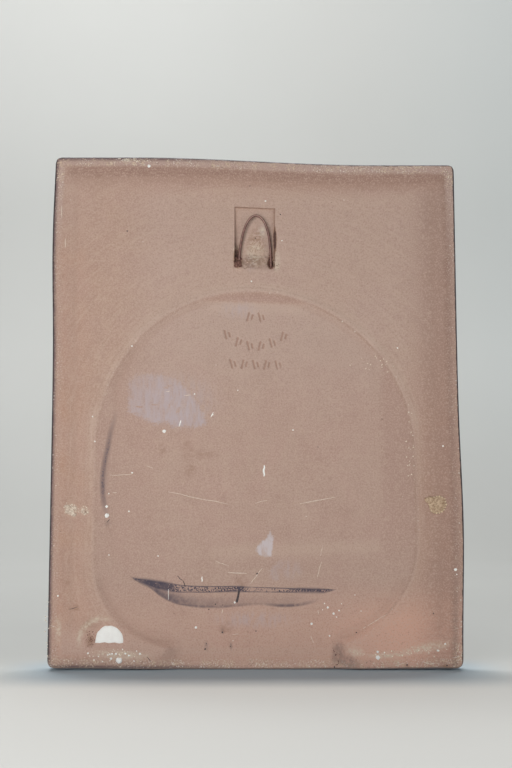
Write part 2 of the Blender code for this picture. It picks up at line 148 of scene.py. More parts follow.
HALF_WIDTH = WIDTH / 2
TOP_Z = HANG_DROP
BOTTOM_Z = TOP_Z - HEIGHT
PANEL_BACK = -LOOP_STAND
PANEL_FRONT = PANEL_BACK - PANEL_THICKNESS
HOLLOW_RADIUS = HALF_WIDTH - SIDE_MARGIN
HOLLOW_Z = -HOLLOW_DROP - HOLLOW_RADIUS
HOLLOW_FOOT_Z = BOTTOM_Z + HOLLOW_FOOT
LEAF_TURN = 2 * math.pi / LEAF_COUNT
POCKET_HEAD_Z = 2 * WIRE_RADIUS + POCKET_HEAD_GAP
POCKET_FOOT_Z = -LOOP_HEIGHT - WIRE_RADIUS
POCKET_LEFT = LOOP_LEFT + WIRE_RADIUS + POCKET_SIDE_GAP
POCKET_RIGHT = -LOOP_RIGHT - WIRE_RADIUS - POCKET_SIDE_GAP

# Fineness of the body's mesh
BACK_STEP = 0.00135
MARK_STEP = 0.00048
POCKET_STEP = 0.0007
BETWEEN_STEP = 0.0008
FRONT_STEP = 0.0018
ONE_CELL = 1.0
MARKS_LOW_Z = -0.0895
MARKS_HIGH_Z = -0.0540
POCKET_LOW_Z = -0.0345
POCKET_WALL = 0.00015
EDGE_SHARES = (0.0, 0.12, 0.35, 0.65)
LOOP_STEPS = 24
WIRE_SIDES = 14
SHARP_ANGLE = math.radians(40)
MM = 0.001
PIXEL_MM = 0.565
OFF_MM = -9.0
SETTLE = 0.00008
DROP_SINK = 0.05 * MM
CAKE_RINGS = ((0.96, 0.55), (0.8, 0.95), (0.45, 1.0))
WIRE_UNEVEN = 0.03
SCUFF_TAPER = 0.35
SCUFF_STEP = 1.2 * MM
SCUFF_DRIFT = 0.25 * MM

# Hand work that the CAD leaves out. Waves: lump size, height and seed
PANEL_WAVE = (26 * MM, 0.10 * MM, 5)
CLAY_WAVE = (5 * MM, 0.022 * MM, 11)
GLAZE_WAVE = (14 * MM, 0.10 * MM, 71)
POCKET_CRUST = (1.6 * MM, 0.22 * MM, 31)
CRUST_TOP_Z = -0.008
CRUST_FULL_Z = -0.020
CRUST_FROM = 0.3 * MM
HOLE_X = -LOOP_RIGHT - 0.1 * MM
HOLE_Z = -0.0268
HOLE_DEPTH = 2.6 * MM
HOLE_RADIUS = 1.7 * MM
PLUG_Z = -0.0282
PLUG_LIFT = 1.5 * MM
PLUG_RADIUS = 2.4 * MM
CREASE_LIFT = 0.05 * MM
CREASE_WIDTH = 0.8 * MM

# Bands of painted shade in from the rim's sides, and of painted highlight and shade along the floor's lower
# and upper lines: height, middle and width in mm
TOP_COVE_SHADE = ((1, 7.8, 3.6), (0.35, 12, 5))
RIGHT_COVE_SHADE = ((0.60, 4.8, 2.0), (0.60, 10, 13))
FOOT_LINE_LIGHT = ((0.8, 3.2, 6.0), (-0.6, -2.6, 5))
HEAD_LINE_LIGHT = ((1, 2.4, 3.5),)
FOOT_LINE_Z = -0.1956
FOOT_LINE_SLOPE = -0.039

# Colours of the clay, the glaze, the residues and the wire, and the painted shade and highlights on the clay
CLAY_INNER = (0.500, 0.345, 0.285)
CLAY_OUTER = (0.500, 0.332, 0.262)
CLAY_WARM = (0.500, 0.300, 0.222)
CLAY_RED_AND_SHADE = (0.430, 0.275, 0.228)
COVE_PAINTED_SHADE = (0.302, 0.180, 0.143)
CLAY_PINK = (0.500, 0.325, 0.275)
# Deeper and paler clay: random tone, and also painted shade and painted highlight in some tints
CLAY_DEEP_AND_SHADE = (0.400, 0.255, 0.200)
CLAY_PALE_AND_HIGHLIGHT = (0.600, 0.440, 0.360)
RIDGE_PAINTED_HIGHLIGHT = (0.600, 0.450, 0.370)
RIM_GREY = (0.515, 0.372, 0.336)
SPECK_TAN = (0.660, 0.520, 0.380)
SPECK_WHITE = (0.800, 0.740, 0.660)
PIT_BROWN = (0.170, 0.100, 0.080)
FILM_LILAC = (0.520, 0.435, 0.460)
RUST_BROWN = (0.300, 0.170, 0.110)
DIRT_AND_SHADE_GREY = (0.225, 0.160, 0.145)
POCKET_DUST = (0.550, 0.410, 0.315)
INK_BLUE = (0.040, 0.037, 0.070)
GLAZE_DARK = (0.020, 0.028, 0.060)
GLAZE_BLUE = (0.050, 0.085, 0.170)
GLAZE_BROWN = (0.160, 0.090, 0.055)
GLAZE_FLECK = (0.100, 0.130, 0.200)
EDGE_GLAZE = (0.070, 0.055, 0.060)
WIRE_DARK = (0.080, 0.028, 0.024)
WIRE_BROWN = (0.210, 0.085, 0.070)
WIRE_DUST_AND_HIGHLIGHT = (0.430, 0.270, 0.225)
GRIME_AND_SHADE_BROWN = (0.085, 0.038, 0.036)
EDGE_STAIN = (0.165, 0.105, 0.110)
FOOT_PAINTED_LIGHT = (0.760, 0.428, 0.325)
UPPER_PAINTED_LIGHT = (0.570, 0.450, 0.400)
FILM_WHITE = (0.640, 0.570, 0.590)
CRUST_TAN = (0.700, 0.600, 0.480)
PAPER = (0.680, 0.685, 0.665)
PAPER_SHADE = (0.560, 0.565, 0.548)
PAPER_BLUE = (0.722, 0.748, 0.737)
PAPER_PAINTED_SHADOW = (0.455, 0.570, 0.650)
EDGE_BARE_LIT = (0.480, 0.330, 0.270)

# Studio sweep and light
FLOOR_NEAR = 2.0
FLOOR_BEND = -0.9
SWEEP_RADIUS = 0.7
SWEEP_STEPS = 16
SWEEP_GAP = 0.00005
WALL_HEIGHT = 2.6
STAGE_HALF = 2.4
WORLD_COLOUR = (0.80, 0.92, 1.0)
WORLD_STRENGTH = 0.08
PLAQUE_MIDDLE = (0.0, 0.0, -0.11)
WHITE_LIGHT = (1.0, 1.0, 1.0)
WARM_LIGHT = (1.0, 0.99, 0.97)

# The lamps: name, place, target, size, power and colour
LIGHTS = (
    ("overhead_softbox", (0.0, -0.30, 2.40), (0.0, 0.03, -0.25), (1.5, 0.25), 30.5, (1.0, 0.995, 0.975)),
    ("key_softbox", (0.25, 0.62, -0.05), PLAQUE_MIDDLE, (0.35, 0.35), 2.29, WARM_LIGHT),
    ("side_softbox", (-0.80, 0.60, 0.12), PLAQUE_MIDDLE, (0.4, 0.4), 1.50, WARM_LIGHT),
    ("backdrop_softbox", (0.35, -0.5, 1.3), (0.0, -1.4, 0.2), (1.2, 0.5), 9.8, WHITE_LIGHT),
    ("corner_softbox", (1.1, -0.5, 1.1), (0.5, -1.5, 0.5), (0.8, 0.5), 1.20, WHITE_LIGHT),
)

# Looks of the small residues: two tones, size of the mottling, roughness and depth of the bump
RESIDUE_LOOKS = {
    "white_residue": ((0.98, 0.97, 0.94), (0.94, 0.92, 0.89), 0.0030, 0.45, 0.00010),
    "old_glue": ((0.66, 0.49, 0.34), (0.38, 0.24, 0.15), 0.0012, 0.40, 0.00040),
    "glue_crust": ((0.86, 0.72, 0.52), (0.62, 0.46, 0.30), 0.0012, 0.40, 0.00030),
    "pale_glue": ((0.88, 0.76, 0.64), (0.54, 0.38, 0.29), 0.0009, 0.55, 0.00040),
    "clay_crumbs": ((0.64, 0.49, 0.39), (0.28, 0.18, 0.14), 0.0009, 0.80, 0.00015),
    "clay_plug": ((0.34, 0.18, 0.14), (0.10, 0.045, 0.04), 0.0009, 0.75, 0.00030),
    "dark_specks": ((0.045, 0.035, 0.04), (0.10, 0.07, 0.07), 0.0008, 0.45, 0.00005),
    "chalky_crumbs": ((0.95, 0.88, 0.76), (0.62, 0.50, 0.40), 0.0012, 0.75, 0.00010),
    "pale_scratches": ((0.82, 0.73, 0.63), (0.66, 0.54, 0.45), 0.0010, 0.75, 0.00004),
}

# Noise patterns: size of the lumps, detail, stretch along x, y and z, turn in degrees, and swirl
EVEN = (1, 1, 1)
PATTERNS = {
    "cloud": (0.034, 4, EVEN, 0, 0.6),
    "patch": (0.011, 3),
    "grain": (0.0008, 3),
    "wipes": (0.0011, 2, (16, 1, 1), 3),
    "drags": (0.0014, 2, (1, 1, 14), 6),
    "crust": (0.0009, 2),
    "crust_zone": (0.0075, 2),
    "motes": (0.0008, 1),
    "motes_zone": (0.0100, 2),
    "soot": (0.0010, 2, EVEN, 0, 0.5),
    "soot_zone": (0.0060, 2),
    "mottle": (0.0008, 2),
    "coarse": (0.0030, 2),
    "ragged": (0.0014, 3),
    "streaky": (0.0016, 3, (1, 1, 4)),
    "blotch": (0.0018, 4),
    "smear": (0.0026, 3, (1.6, 1, 1)),
    "clots": (0.0030, 3, EVEN, 0, 1.5),
    "wavy": (0.0042, 3),
    "pooled": (0.016, 4, EVEN, 0, 0.8),
    "lumps": (0.0030, 3),
    "wire_tone": (0.0022, 3),
    "wire_dust": (0.0018, 3),
    "wire_grain": (0.0006, 3),
    "fibre": (0.25, 2),
}
# Scattered spots: size of their cells, their radius, and the share of cells that have one
SPOTS = {
    "rim_specks": (0.0022, 0.00040, 0.34),
    "loose_specks": (0.0105, 0.00040, 0.30),
    "hem_specks": (0.0022, 0.00046, 0.50),
    "pits": (0.0090, 0.00035, 0.22),
    "glaze_flecks": (0.0030, 0.00050, 0.30),
}

# Soft steps that several looks share. A step names a pattern or a measure, then where it starts and is
# full, and at times the shares there. Measures from the rim and the hollow are in mm, heights in metres.
ON_LEFT = ("across", 0.03, 0.07)
UPPER_HOLLOW = ("height", HOLLOW_Z - 0.03, HOLLOW_Z + 0.02, 0.35, 1)
# Tints of the bare clay in the order they are laid, painted shade and highlights among them: a colour, its
# strength, and the steps that limit it
CLAY_TINTS = (
    (CLAY_WARM, 1, ("warm",), ("height", 0, -0.04), ("outside",)),
    (CLAY_PINK, 0.55, ("cloud", 0.35, 0.70)),
    (CLAY_DEEP_AND_SHADE, 0.32, ("patch", 0.45, 0.75)),
    (CLAY_PALE_AND_HIGHLIGHT, 0.22, ("patch", 0.45, 0.20)),
    (CLAY_PALE_AND_HIGHLIGHT, 0.34, ("strokes", 0.45, 0.75), ("outside",)),
    (CLAY_DEEP_AND_SHADE, 0.26, ("strokes", 0.48, 0.25), ("outside",)),
    (CLAY_PALE_AND_HIGHLIGHT, 0.24, ("wipes", 0.50, 0.80)),
    (CLAY_DEEP_AND_SHADE, 0.22, ("drags", 0.45, 0.22)),
    # Painted shade on the hollow's slopes, darker and redder
    (CLAY_RED_AND_SHADE, 1, ("slope",), ("patch", 0.20, 0.70, 0.75, 1)),
    (CLAY_RED_AND_SHADE, 0.32, ("sides",), ("height", -0.232, -0.215)),
    # Painted highlight and painted shade along the floor's lines
    (CLAY_PALE_AND_HIGHLIGHT, 1, ("shelf", 0, 1, 0, 0.50)),
    (CLAY_DEEP_AND_SHADE, 1, ("shelf", 0, -1, 0, 0.45)),
    # Painted light on the foot, a little warmer too, growing towards the bottom edge and strongest on the
    # right
    (FOOT_PAINTED_LIGHT, 1, ("height", -0.205, -0.236), ("pale_side",)),
    # Painted shade on the hollow's wall just inside its edge near the apex
    (CLAY_DEEP_AND_SHADE, 0.22, ("from_arch", 3.5, 1.5), ("height", -0.075, -0.055)),
    # Painted light over the upper panel, growing upwards, fading out near the top, towards the left edge and
    # on the hollow's slopes
    (UPPER_PAINTED_LIGHT, 1, ("height", -0.135, -0.060), ("across", 0.085, 0.050),
     ("height", TOP_Z - 0.012, TOP_Z - 0.024), ("slope", 0.1, 0.8, 0.26, 0)),
    # Painted highlight on the ridge round the upper hollow, in a band up to 7 mm outside its edge
    (RIDGE_PAINTED_HIGHLIGHT, 1, ("edge", -7.0, -2.5), ("edge", 0.3, -0.8), UPPER_HOLLOW,
     ("strokes", 0.3, 0.7, 0.2, 0.6), ("cloud", 0.3, 0.6, 0.4, 1)),
    # Painted shade in a thin line just inside the hollow's edge, stronger on the right, fading out near the
    # bottom
    (CLAY_DEEP_AND_SHADE, 1, ("edge", -0.2, 0.5), ("edge", 2.2, 0.7), ("patch", 0.3, 0.6, 0.25, 1),
     ("height", -0.238, -0.215), ("across", 0.01, -0.02, 0.45, 0.70)),
    # Along the left rim: a darker band within about 7 mm of the edge, and a painted highlight over the cove
    # further in
    (CLAY_DEEP_AND_SHADE, 0.42, ON_LEFT, ("rim", 7.5, 3.0)),
    (CLAY_PALE_AND_HIGHLIGHT, 0.12, ON_LEFT, ("rim", 6.0, 10.5), ("rim", 16, 12)),
    # Painted shade in the coves under the top rim and inside the right rim
    (COVE_PAINTED_SHADE, 1, ("cove",), ("wipes", 0.3, 0.7, 0.75, 1)),
    (RIM_GREY, 1, ("land", 7.4, 5.2), ("height", TOP_Z - 0.060, TOP_Z - 0.012, 0.12, 0.62)),
    (CLAY_PALE_AND_HIGHLIGHT, 0.60, ("grain", 0.42, 0.70)),
    (CLAY_DEEP_AND_SHADE, 0.66, ("grain", 0.48, 0.26)),
    (EDGE_STAIN, 1, ("rim", 3.2, 0.9), ("across", 0, 0.06), ("patch", 0.25, 0.60, 0.65, 0.95)),
    (SPECK_TAN, 0.85, ("crust", 0.52, 0.60), ("crust_zone", 0.40, 0.60), ("lip",)),
    (SPECK_WHITE, 0.95, ("motes", 0.60, 0.66), ("motes_zone", 0.40, 0.62), ("lip",)),
    (PIT_BROWN, 0.55, ("soot", 0.40, 0.33), ("soot_zone", 0.38, 0.60), ("lip",)),
    (SPECK_WHITE, 0.75, ("specks",)),
    (PIT_BROWN, 0.55, ("pits",)),
)
# Tints of the marks on the clay, in the same form; some are partly painted shade
MARK_TINTS = (
    (RUST_BROWN, 0.78, ("rust",), ("smear", 0.30, 0.66)),
    (CRUST_TAN, 0.80, ("dust",), ("blotch", 0.64, 0.36, 0.15, 1)),
    # Smudges, with painted shade by the channel's right wall
    (DIRT_AND_SHADE_GREY, 0.62, ("dirt_and_shade",), ("blotch", 0.26, 0.62, 0.25, 1)),
    (POCKET_DUST, 0.50, ("debris",), ("blotch", 0.35, 0.65)),
    (RUST_BROWN, 0.62, ("debris",), ("clots", 0.42, 0.60)),
    # Crust at the wire's feet, and painted shade in the pocket's corners, along its right wall and in the
    # right foot's hole
    (RUST_BROWN, 0.80, ("grimy_and_shaded", 0.05, 0.55)),
    (GRIME_AND_SHADE_BROWN, 0.90, ("grimy_and_shaded", 0.45, 0.95)),
    # Painted shade in the pressed strokes and in spots lower than their surroundings
    (CLAY_DEEP_AND_SHADE, 0.50, ("dent_shade",)),
    (INK_BLUE, 0.93, ("ink",)),
)

# Places of the stains, drops and scuffs in the photograph's pixels: across, down, and a size in mm
WHITE_DROPS = (
    (119, 660.5, 1.75), (111.2, 658.7, 0.75), (112, 653.8, 0.5), (116, 653.8, 0.6), (125.3, 653.6, 0.6),
    (128.8, 655.5, 0.5), (88, 653.2, 0.5), (140, 653.8, 0.6), (149, 166, 0.9), (164.2, 431.2, 1.05),
    (212.6, 414.5, 0.45), (106.7, 506.5, 0.85), (107, 515.5, 1.25), (128.9, 511.2, 0.5),
    (132.2, 472.7, 0.5), (108.8, 493.6, 0.4), (94.9, 441.4, 0.45), (92.6, 416.5, 0.45), (377.6, 651.8, 0.7),
    (377.8, 657.6, 1.25), (384.5, 652.6, 0.4), (437.9, 650.6, 0.6), (445.2, 643.8, 0.5),
    (311.6, 623.8, 0.7), (329.6, 635.8, 0.5), (333.5, 613.6, 0.75), (327.8, 607.4, 0.65), (339, 610.5, 0.5),
    (324.5, 603.5, 0.35), (341.5, 603.8, 0.3), (336.5, 617, 0.35), (322.5, 609.8, 0.3),
    (455.6, 569.6, 0.85), (456.8, 574.5, 0.4), (195.9, 627.4, 0.75), (234.7, 602.3, 0.6),
    (237.8, 390.3, 0.4), (194.6, 394, 0.45), (132, 346, 0.5), (397.5, 348, 0.45), (443, 446, 0.5),
    (293, 430, 0.5), (265.4, 201, 0.55), (251.4, 281.3, 0.5), (109, 555, 0.4), (158, 556, 0.45),
    (57.8, 595.8, 0.5), (130, 655.6, 0.35), (282, 240.6, 0.4), (107.9, 655, 0.45), (109.8, 654.2, 0.4),
    (94, 660, 0.4), (98.5, 656.5, 0.35), (122.5, 649.5, 0.4), (134, 661, 0.4), (136.5, 651, 0.35),
    (102.5, 661.5, 0.35), (355, 595, 0.3), (361, 611, 0.35),
)
DARK_PITS = (
    (127.2, 231, 0.45), (250, 186, 0.35), (257, 573.6, 0.5), (356.4, 632.5, 0.35), (433.5, 613.4, 0.4),
    (222.3, 632.3, 0.45), (205.2, 649, 0.5), (206.5, 643.5, 0.3), (230.5, 646.5, 0.3), (215.5, 604.2, 0.4),
    (208.8, 609.4, 0.35), (222.8, 605, 0.3), (255.4, 238.2, 0.35), (280.4, 214.4, 0.4), (256, 631, 0.35),
    (407, 665, 0.5), (447, 665.5, 0.45), (334.5, 667, 0.45), (318, 447, 0.3), (382, 419, 0.3),
)
PALE_SCUFFS = (
    ((168, 492), (228, 504), 0.3), ((300, 504), (335, 497), 0.35), ((228, 572.6), (247, 573.6), 0.4),
    ((250, 584), (262.5, 568), 0.3), ((321.3, 562), (317, 577.5), 0.3), ((323, 545), (320.6, 556), 0.25),
    ((318, 610), (318.6, 614.5), 0.4), ((310.5, 636), (314, 643), 0.3),
    ((222.1, 609.5), (222.3, 613.5), 0.35), ((395.5, 665.5), (404.5, 663.2), 0.45),
    ((423.5, 662), (431.5, 664.4), 0.35), ((360.5, 630), (386.5, 614.5), 0.25),
    ((110, 475.2), (132, 474.6), 0.25), ((112.6, 492.6), (116.8, 492.2), 0.3),
    ((65.5, 238.5), (65.2, 247.5), 0.4), ((61.6, 206), (61.8, 218), 0.3), ((146.6, 466), (153, 468), 0.25),
    ((255, 503), (268, 500), 0.22), ((228.5, 566), (215, 561), 0.22), ((184, 395.4), (190.5, 395), 0.35),
    ((165.5, 391.8), (170, 391), 0.3), ((232.5, 634.5), (238.5, 634), 0.25),
)
WHITE_DASHES = (
    ((264, 465.3), (264.1, 476.4), 1), ((211.2, 417), (213.2, 412.3), 0.5),
    ((168.2, 589), (168.4, 599.5), 0.28), ((179, 426.6), (181, 420.2), 0.5),
    ((201.9, 576.6), (202.1, 581.8), 0.7),
)
DARK_SCUFFS = (
    ((177, 576), (183, 581), 0.35), ((183, 581), (185.5, 587), 0.45), ((236.8, 602.5), (239.4, 590.5), 1.5),
    ((106.5, 522.5), (109.8, 519.5), 0.35), ((69, 609.5), (78, 607), 0.3),
    ((147, 656.5), (151, 661.5), 0.3),
)

# Lumps of the residues: column, row, radius in mm, and stretch across
GLUE_RIGHT = ((437.2, 504.6, 4.6, 1), (430, 500, 2, 1.5), (440.5, 500.2, 2.2, 1), (434, 509.5, 2.2, 1.1))
GLUE_LEFT = (
    (70, 510.5, 2.4, 1), (74.5, 508, 1.2, 1.1), (83.2, 511, 1.6, 0.8), (73.5, 514.5, 1.3, 1.2),
    (67, 506.5, 1, 1.2), (66, 512.5, 0.8, 1), (86, 513.5, 0.7, 1),
)
# Dark clay round the wire's feet; the last five lie in the hole at the right foot and paint its shade too
PLUG_AND_HOLE_LUMPS = (
    (238.4, 262.5, 1.7), (240.2, 265.6, 1.2), (236, 265.4, 1.3), (240.9, 259, 0.8), (236.4, 258, 1),
    (235, 262, 0.8), (238, 254.5, 0.7), (236.2, 250.5, 0.6), (239.6, 249, 0.5), (271.4, 268, 0.9),
    (270.3, 262.5, 1.1), (271.6, 258, 0.8), (269.4, 266, 0.9), (271, 253.5, 0.6),
)
# Crust of the right dab: a ring's centre, radii in pixels and count, and specks' corner, span, count and size
CRUST_RING = ((438, 504.5), (8, 8.4), 18)
CRUST_SPECKS = ((431, 499), (14, 12), 14, 0.30)
CRUST_SEED = 33

# Crumbs: how many, radii in mm, where they lie in heaps, as centre and half widths in pixels, and a seed
POCKET_CRUMBS = (110, (0.18, 0.44), (
    ((256.5, 254), (11, 11)), ((256, 266), (16, 5)), ((276.8, 262), (3.2, 12)), ((237, 247.5), (3.2, 4)),
    ((266, 258), (6, 9))), 51)
WHITE_CRUMBS = (230, (0.17, 0.4), (
    ((116, 656), (36, 5)), ((47.5, 626), (2.5, 32)), ((405, 654), (46, 5)), ((71, 510), (6, 6)),
    ((424, 650), (26, 4)), ((128, 160), (12, 2.5)), ((85, 511), (4, 5)), ((120, 653), (26, 4)),
    ((71, 509), (9, 7)), ((410, 440), (4, 46)), ((370, 366), (26, 10)), ((380, 655), (26, 3))), 57)
RUST_CRUMBS = (90, (0.16, 0.36), (
    ((90.5, 640), (5, 9)), ((91.5, 637), (6, 7)), ((237.5, 259), (4, 10)), ((270.5, 261), (3.5, 9)),
    ((336, 655), (4, 12))), 63)

# The torn white scrap, in pixels
SCRAP_CENTRE = (109.3, 643.0)
SCRAP_HALF = 14.2
SCRAP_HIGH = 17.6
SCRAP_STEPS = 20
SCRAP_FOOT = ((119.5, 643.6), (114.5, 642.6), (109, 643.3), (104.5, 642.4), (99.5, 643.2))

# How many times a height is averaged with its neighbours to find its ridges
RIDGE_ROUNDS = 14


def clamp(t):
    """Limits values to 0 and 1."""
    return np.clip(t, 0.0, 1.0)


def ease(t):
    """Smooth step from 0 to 1."""
    t = clamp(t)
    return t * t * (3.0 - 2.0 * t)


def ramp(t, low, high):
    """Smooth step from 0 at low to 1 at high."""
    return ease((t - low) / (high - low))


def bump(t, centre, width):
    """Rounded hill of height 1."""
    return np.exp(-(((t - centre) / width) ** 2))


def bands(t, hills):
    """Several rounded hills added up, each a height, a middle and a width in mm."""
    return sum(height * bump(t, middle * MM, width * MM) for height, middle, width in hills)


def lattice(column, row, seed):
    """Repeatable random values from 0 to 1 at whole-number places."""
    mixed = (column * 374761393 + row * 668265263 + seed * 974634777) & 0xFFFFFFFF
    mixed = ((mixed ^ (mixed >> 13)) * 1274126177) & 0xFFFFFFFF
    return ((mixed ^ (mixed >> 16)) & 0xFFFF) / 65535.0


def noise(x, z, size, seed):
    """Smooth random field from -1 to 1 whose lumps are about size across."""
    u = np.asarray(x) / size + 1000.0
    v = np.asarray(z) / size + 1000.0
    column = np.floor(u).astype(np.int64)
    row = np.floor(v).astype(np.int64)
    fu = ease(u - column)
    fv = ease(v - row)
    low = lattice(column, row, seed) * (1 - fu) + lattice(column + 1, row, seed) * fu
    high = lattice(column, row + 1, seed) * (1 - fu) + lattice(column + 1, row + 1, seed) * fu
    return 2 * (low * (1 - fv) + high * fv) - 1


def rough(x, z, size, seed, octaves=3):
    """Several noise fields of halving size added up."""
    return sum(noise(x, z, size / 2 ** octave, seed + octave) / 2 ** octave for octave in range(octaves))


def waves(x, z, wave, octaves=3):
    """Height of hand-made waviness, from a lump size, a height and a seed."""
    size, height, seed = wave
    return rough(x, z, size, seed, octaves) * height


def on_back(u, v, y=PANEL_BACK):
    """The plaque's x and z where a pixel of the photograph meets the plane at y."""
    across = (u - PICTURE_WIDTH / 2) / FOCAL_PX
    down = (v - PICTURE_HEIGHT / 2) / FOCAL_PX
    forward = math.cos(CAMERA_PITCH) + down * math.sin(CAMERA_PITCH)
    rise = math.sin(CAMERA_PITCH) + down * -math.cos(CAMERA_PITCH)
    distance = (CAMERA_PLACE[1] - y) / forward
    return CAMERA_PLACE[0] - across * distance, CAMERA_PLACE[2] + rise * distance


def warp(x, z):
    """Moves a point of the true rectangle to the plaque's hand-trimmed, slightly crooked outline."""
    down = (TOP_Z - z) / HEIGHT
    across = 0.5 - x / WIDTH
    left = LEFT_SWELL * bump(down, 0.17, 0.16)
    right = RIGHT_SWELL * bump(down, 0.73, 0.17) - RIGHT_INSET
    side = np.where(x > 0, left, -right) * np.abs(x) / HALF_WIDTH
    top = TOP_SLANT * (0.5 - ease((across - 0.2) / 0.6))
    bottom = -BOTTOM_SAG * np.sin(math.pi * clamp(across))
    return x + side, z + (1.0 - down) * top + down * bottom


def round_corners(x, z):
    """Draws the four square corners in to rounded ones."""
    middle = (TOP_Z + BOTTOM_Z) / 2
    a = (np.abs(x) - (HALF_WIDTH - CORNER_RADIUS)) / CORNER_RADIUS
    b = (np.abs(z - middle) - (HEIGHT / 2 - CORNER_RADIUS)) / CORNER_RADIUS
    inside = (a > 0) & (b > 0)
    disc_a = a * np.sqrt(np.clip(1 - b * b / 2, 0, 1))
    disc_b = b * np.sqrt(np.clip(1 - a * a / 2, 0, 1))
    new_x = np.sign(x) * (HALF_WIDTH - CORNER_RADIUS + disc_a * CORNER_RADIUS)
    new_z = middle + np.sign(z - middle) * (HEIGHT / 2 - CORNER_RADIUS + disc_b * CORNER_RADIUS)
    return np.where(inside, new_x, x), np.where(inside, new_z, z)


def inside_hollow(x, z):
    """Distance in from the edge of the hollow, negative outside it."""
    dx = x - HOLLOW_SHIFT
    radius = np.where(dx > 0, LEFT_FOOT_RADIUS, RIGHT_FOOT_RADIUS)
    corner_x = np.abs(dx) - (HOLLOW_RADIUS - radius)
    corner_z = HOLLOW_FOOT_Z + radius - z
    straight = np.minimum(HOLLOW_RADIUS - np.abs(dx), z - HOLLOW_FOOT_Z)
    rounded = radius - np.hypot(corner_x, corner_z)
    lower = np.where((corner_x > 0) & (corner_z > 0), rounded, straight)
    upper = HOLLOW_RADIUS - np.hypot(dx, z - HOLLOW_Z)
    return np.where(z > HOLLOW_Z, upper, lower)


def inside_floor(x, z):
    """Distance in from the sides of the flat floor, negative outside it."""
    across = np.minimum(FLOOR_LEFT - x, FLOOR_RIGHT + x)
    down = np.minimum(-FLOOR_TOP - z, z - BOTTOM_Z - FLOOR_FOOT)
    return np.minimum(across, down)


def slope_width(x, z):
    """Distance out from the floor onto the slopes beside and above it, fading out below it."""
    across = np.minimum(FLOOR_LEFT - x, FLOOR_RIGHT + x)
    fade = ease((z - BOTTOM_Z - FLOOR_FOOT) / SLOPE_FADE + 1)
    return np.maximum(-np.minimum(across, -FLOOR_TOP - z), 0.0) * fade


def channel_share(x, z, margin):
    """1 in the channel below the hollow, easing to 0 up its splayed sides."""
    height = (z - BOTTOM_Z) / CHANNEL_TAPER
    run = CHANNEL_SPREAD + (CHANNEL_NARROW - CHANNEL_SPREAD) * ease(height)
    left = ease((CHANNEL_LEFT + margin + run - x) / run)
    right = ease((CHANNEL_RIGHT + margin + run + x) / run)
    return left * right * ease((HOLLOW_Z - z) / CHANNEL_TAPER)


def rim_share(gap, dish):
    """1 on the flat land of the rim, easing to 0 down the cove and across the dished panel."""
    inner = gap - LAND_WIDTH
    return (1 - DISH_SHARE) * (1 - ease(inner / COVE_WIDTH)) + DISH_SHARE * (1 - ease(inner / dish))


def back_level(x, z):
    """y of the back surface, away from the rounded outer edge."""
    left_rim = rim_share(HALF_WIDTH - x, LEFT_DISH)
    right_rim = rim_share(HALF_WIDTH + x, RIGHT_DISH)
    top_rim = rim_share(TOP_Z - z, LEFT_DISH)
    height = z - BOTTOM_Z
    crest = ease((ROLL_REACH - height) / (ROLL_REACH - ROLL_CREST)) * ROLL_LIFT / RIM_LIFT
    rim = 1 - (1 - left_rim) * (1 - right_rim) * (1 - top_rim) * (1 - crest)
    fall = ROLL_FALL * clamp(1 - height / ROLL_CREST) ** 2
    edge = inside_hollow(x, z)
    bead = BEAD_LIFT * bump(edge, -BEAD_OFFSET, BEAD_WIDTH) * ease((z - HOLLOW_Z) / HOLLOW_RADIUS + 0.5)
    beyond = slope_width(x, z)
    run = np.clip(edge + beyond, WALL_RUN, SLOPE_RUN)
    hollow = 1 - (1 - clamp(edge / run)) * (1 - channel_share(x, z, 0.0))
    floor = HOLLOW_DEPTH - FLOOR_RISE * np.minimum(beyond, SIDE_MARGIN)
    return PANEL_BACK + (RIM_LIFT * rim - fall + bead) * (1 - hollow) - floor * hollow


def leaf_relief(edge, angle):
    """Height of two rows of broad pointed leaves round a boss, with a vein down each leaf."""
    total = np.zeros_like(edge)
    for row in range(LEAF_ROWS):
        along = edge / LEAF_LENGTH - row
        phase = angle / LEAF_TURN + 0.5 * row
        offset = phase - np.round(phase)
        half_width = 0.5 * np.sqrt(ease(along / 0.9 + 0.12)) + 1e-6
        body = np.sqrt(clamp(1 - (offset / half_width) ** 2))
        slope = 1 - 0.75 * clamp(along)
        lift = LEAF_RISE * body * slope - VEIN_DEPTH * bump(offset, 0.0, 0.07)
        total = total + lift * ease((along + 0.05) / 0.1) * ease((1.05 - along) / 0.1)
    boss = ease((edge / LEAF_LENGTH - LEAF_ROWS) / 0.35)
    return total + BOSS_RISE * boss


def front_level(x, z):
    """y of the front surface, away from the rounded outer edge."""
    edge = inside_hollow(x, z) + RELIEF_MARGIN
    head = ease(edge / RELIEF_RUN)
    stem = channel_share(x, z, RELIEF_MARGIN)
    raised = 1 - (1 - head) * (1 - stem)
    dome = CROWN_RISE * head * ease(edge / HOLLOW_RADIUS)
    angle = np.arctan2(x - HOLLOW_SHIFT, z - HOLLOW_Z)
    return PANEL_FRONT - RELIEF_RISE * raised - dome - leaf_relief(edge, angle) * head


def outline_gap(x, z):
    """Distance in from the nearest side of the rectangle."""
    across = HALF_WIDTH - np.abs(x)
    down = np.minimum(TOP_Z - z, z - BOTTOM_Z)
    return np.minimum(across, down)


def stroke_places():
    """Centre and lean of each pressed mark: two marks, an arc of six, and a row of five."""
    places = []
    for row, (count, drop, rise) in enumerate(STROKE_ROWS):
        for i in range(count):
            share = i - (count - 1) / 2
            z = -drop + rise * (2 * share / count) ** 2
            places.append((share * ROW_STEP, z, STROKE_LEAN * (-1) ** (i + row)))
    return places


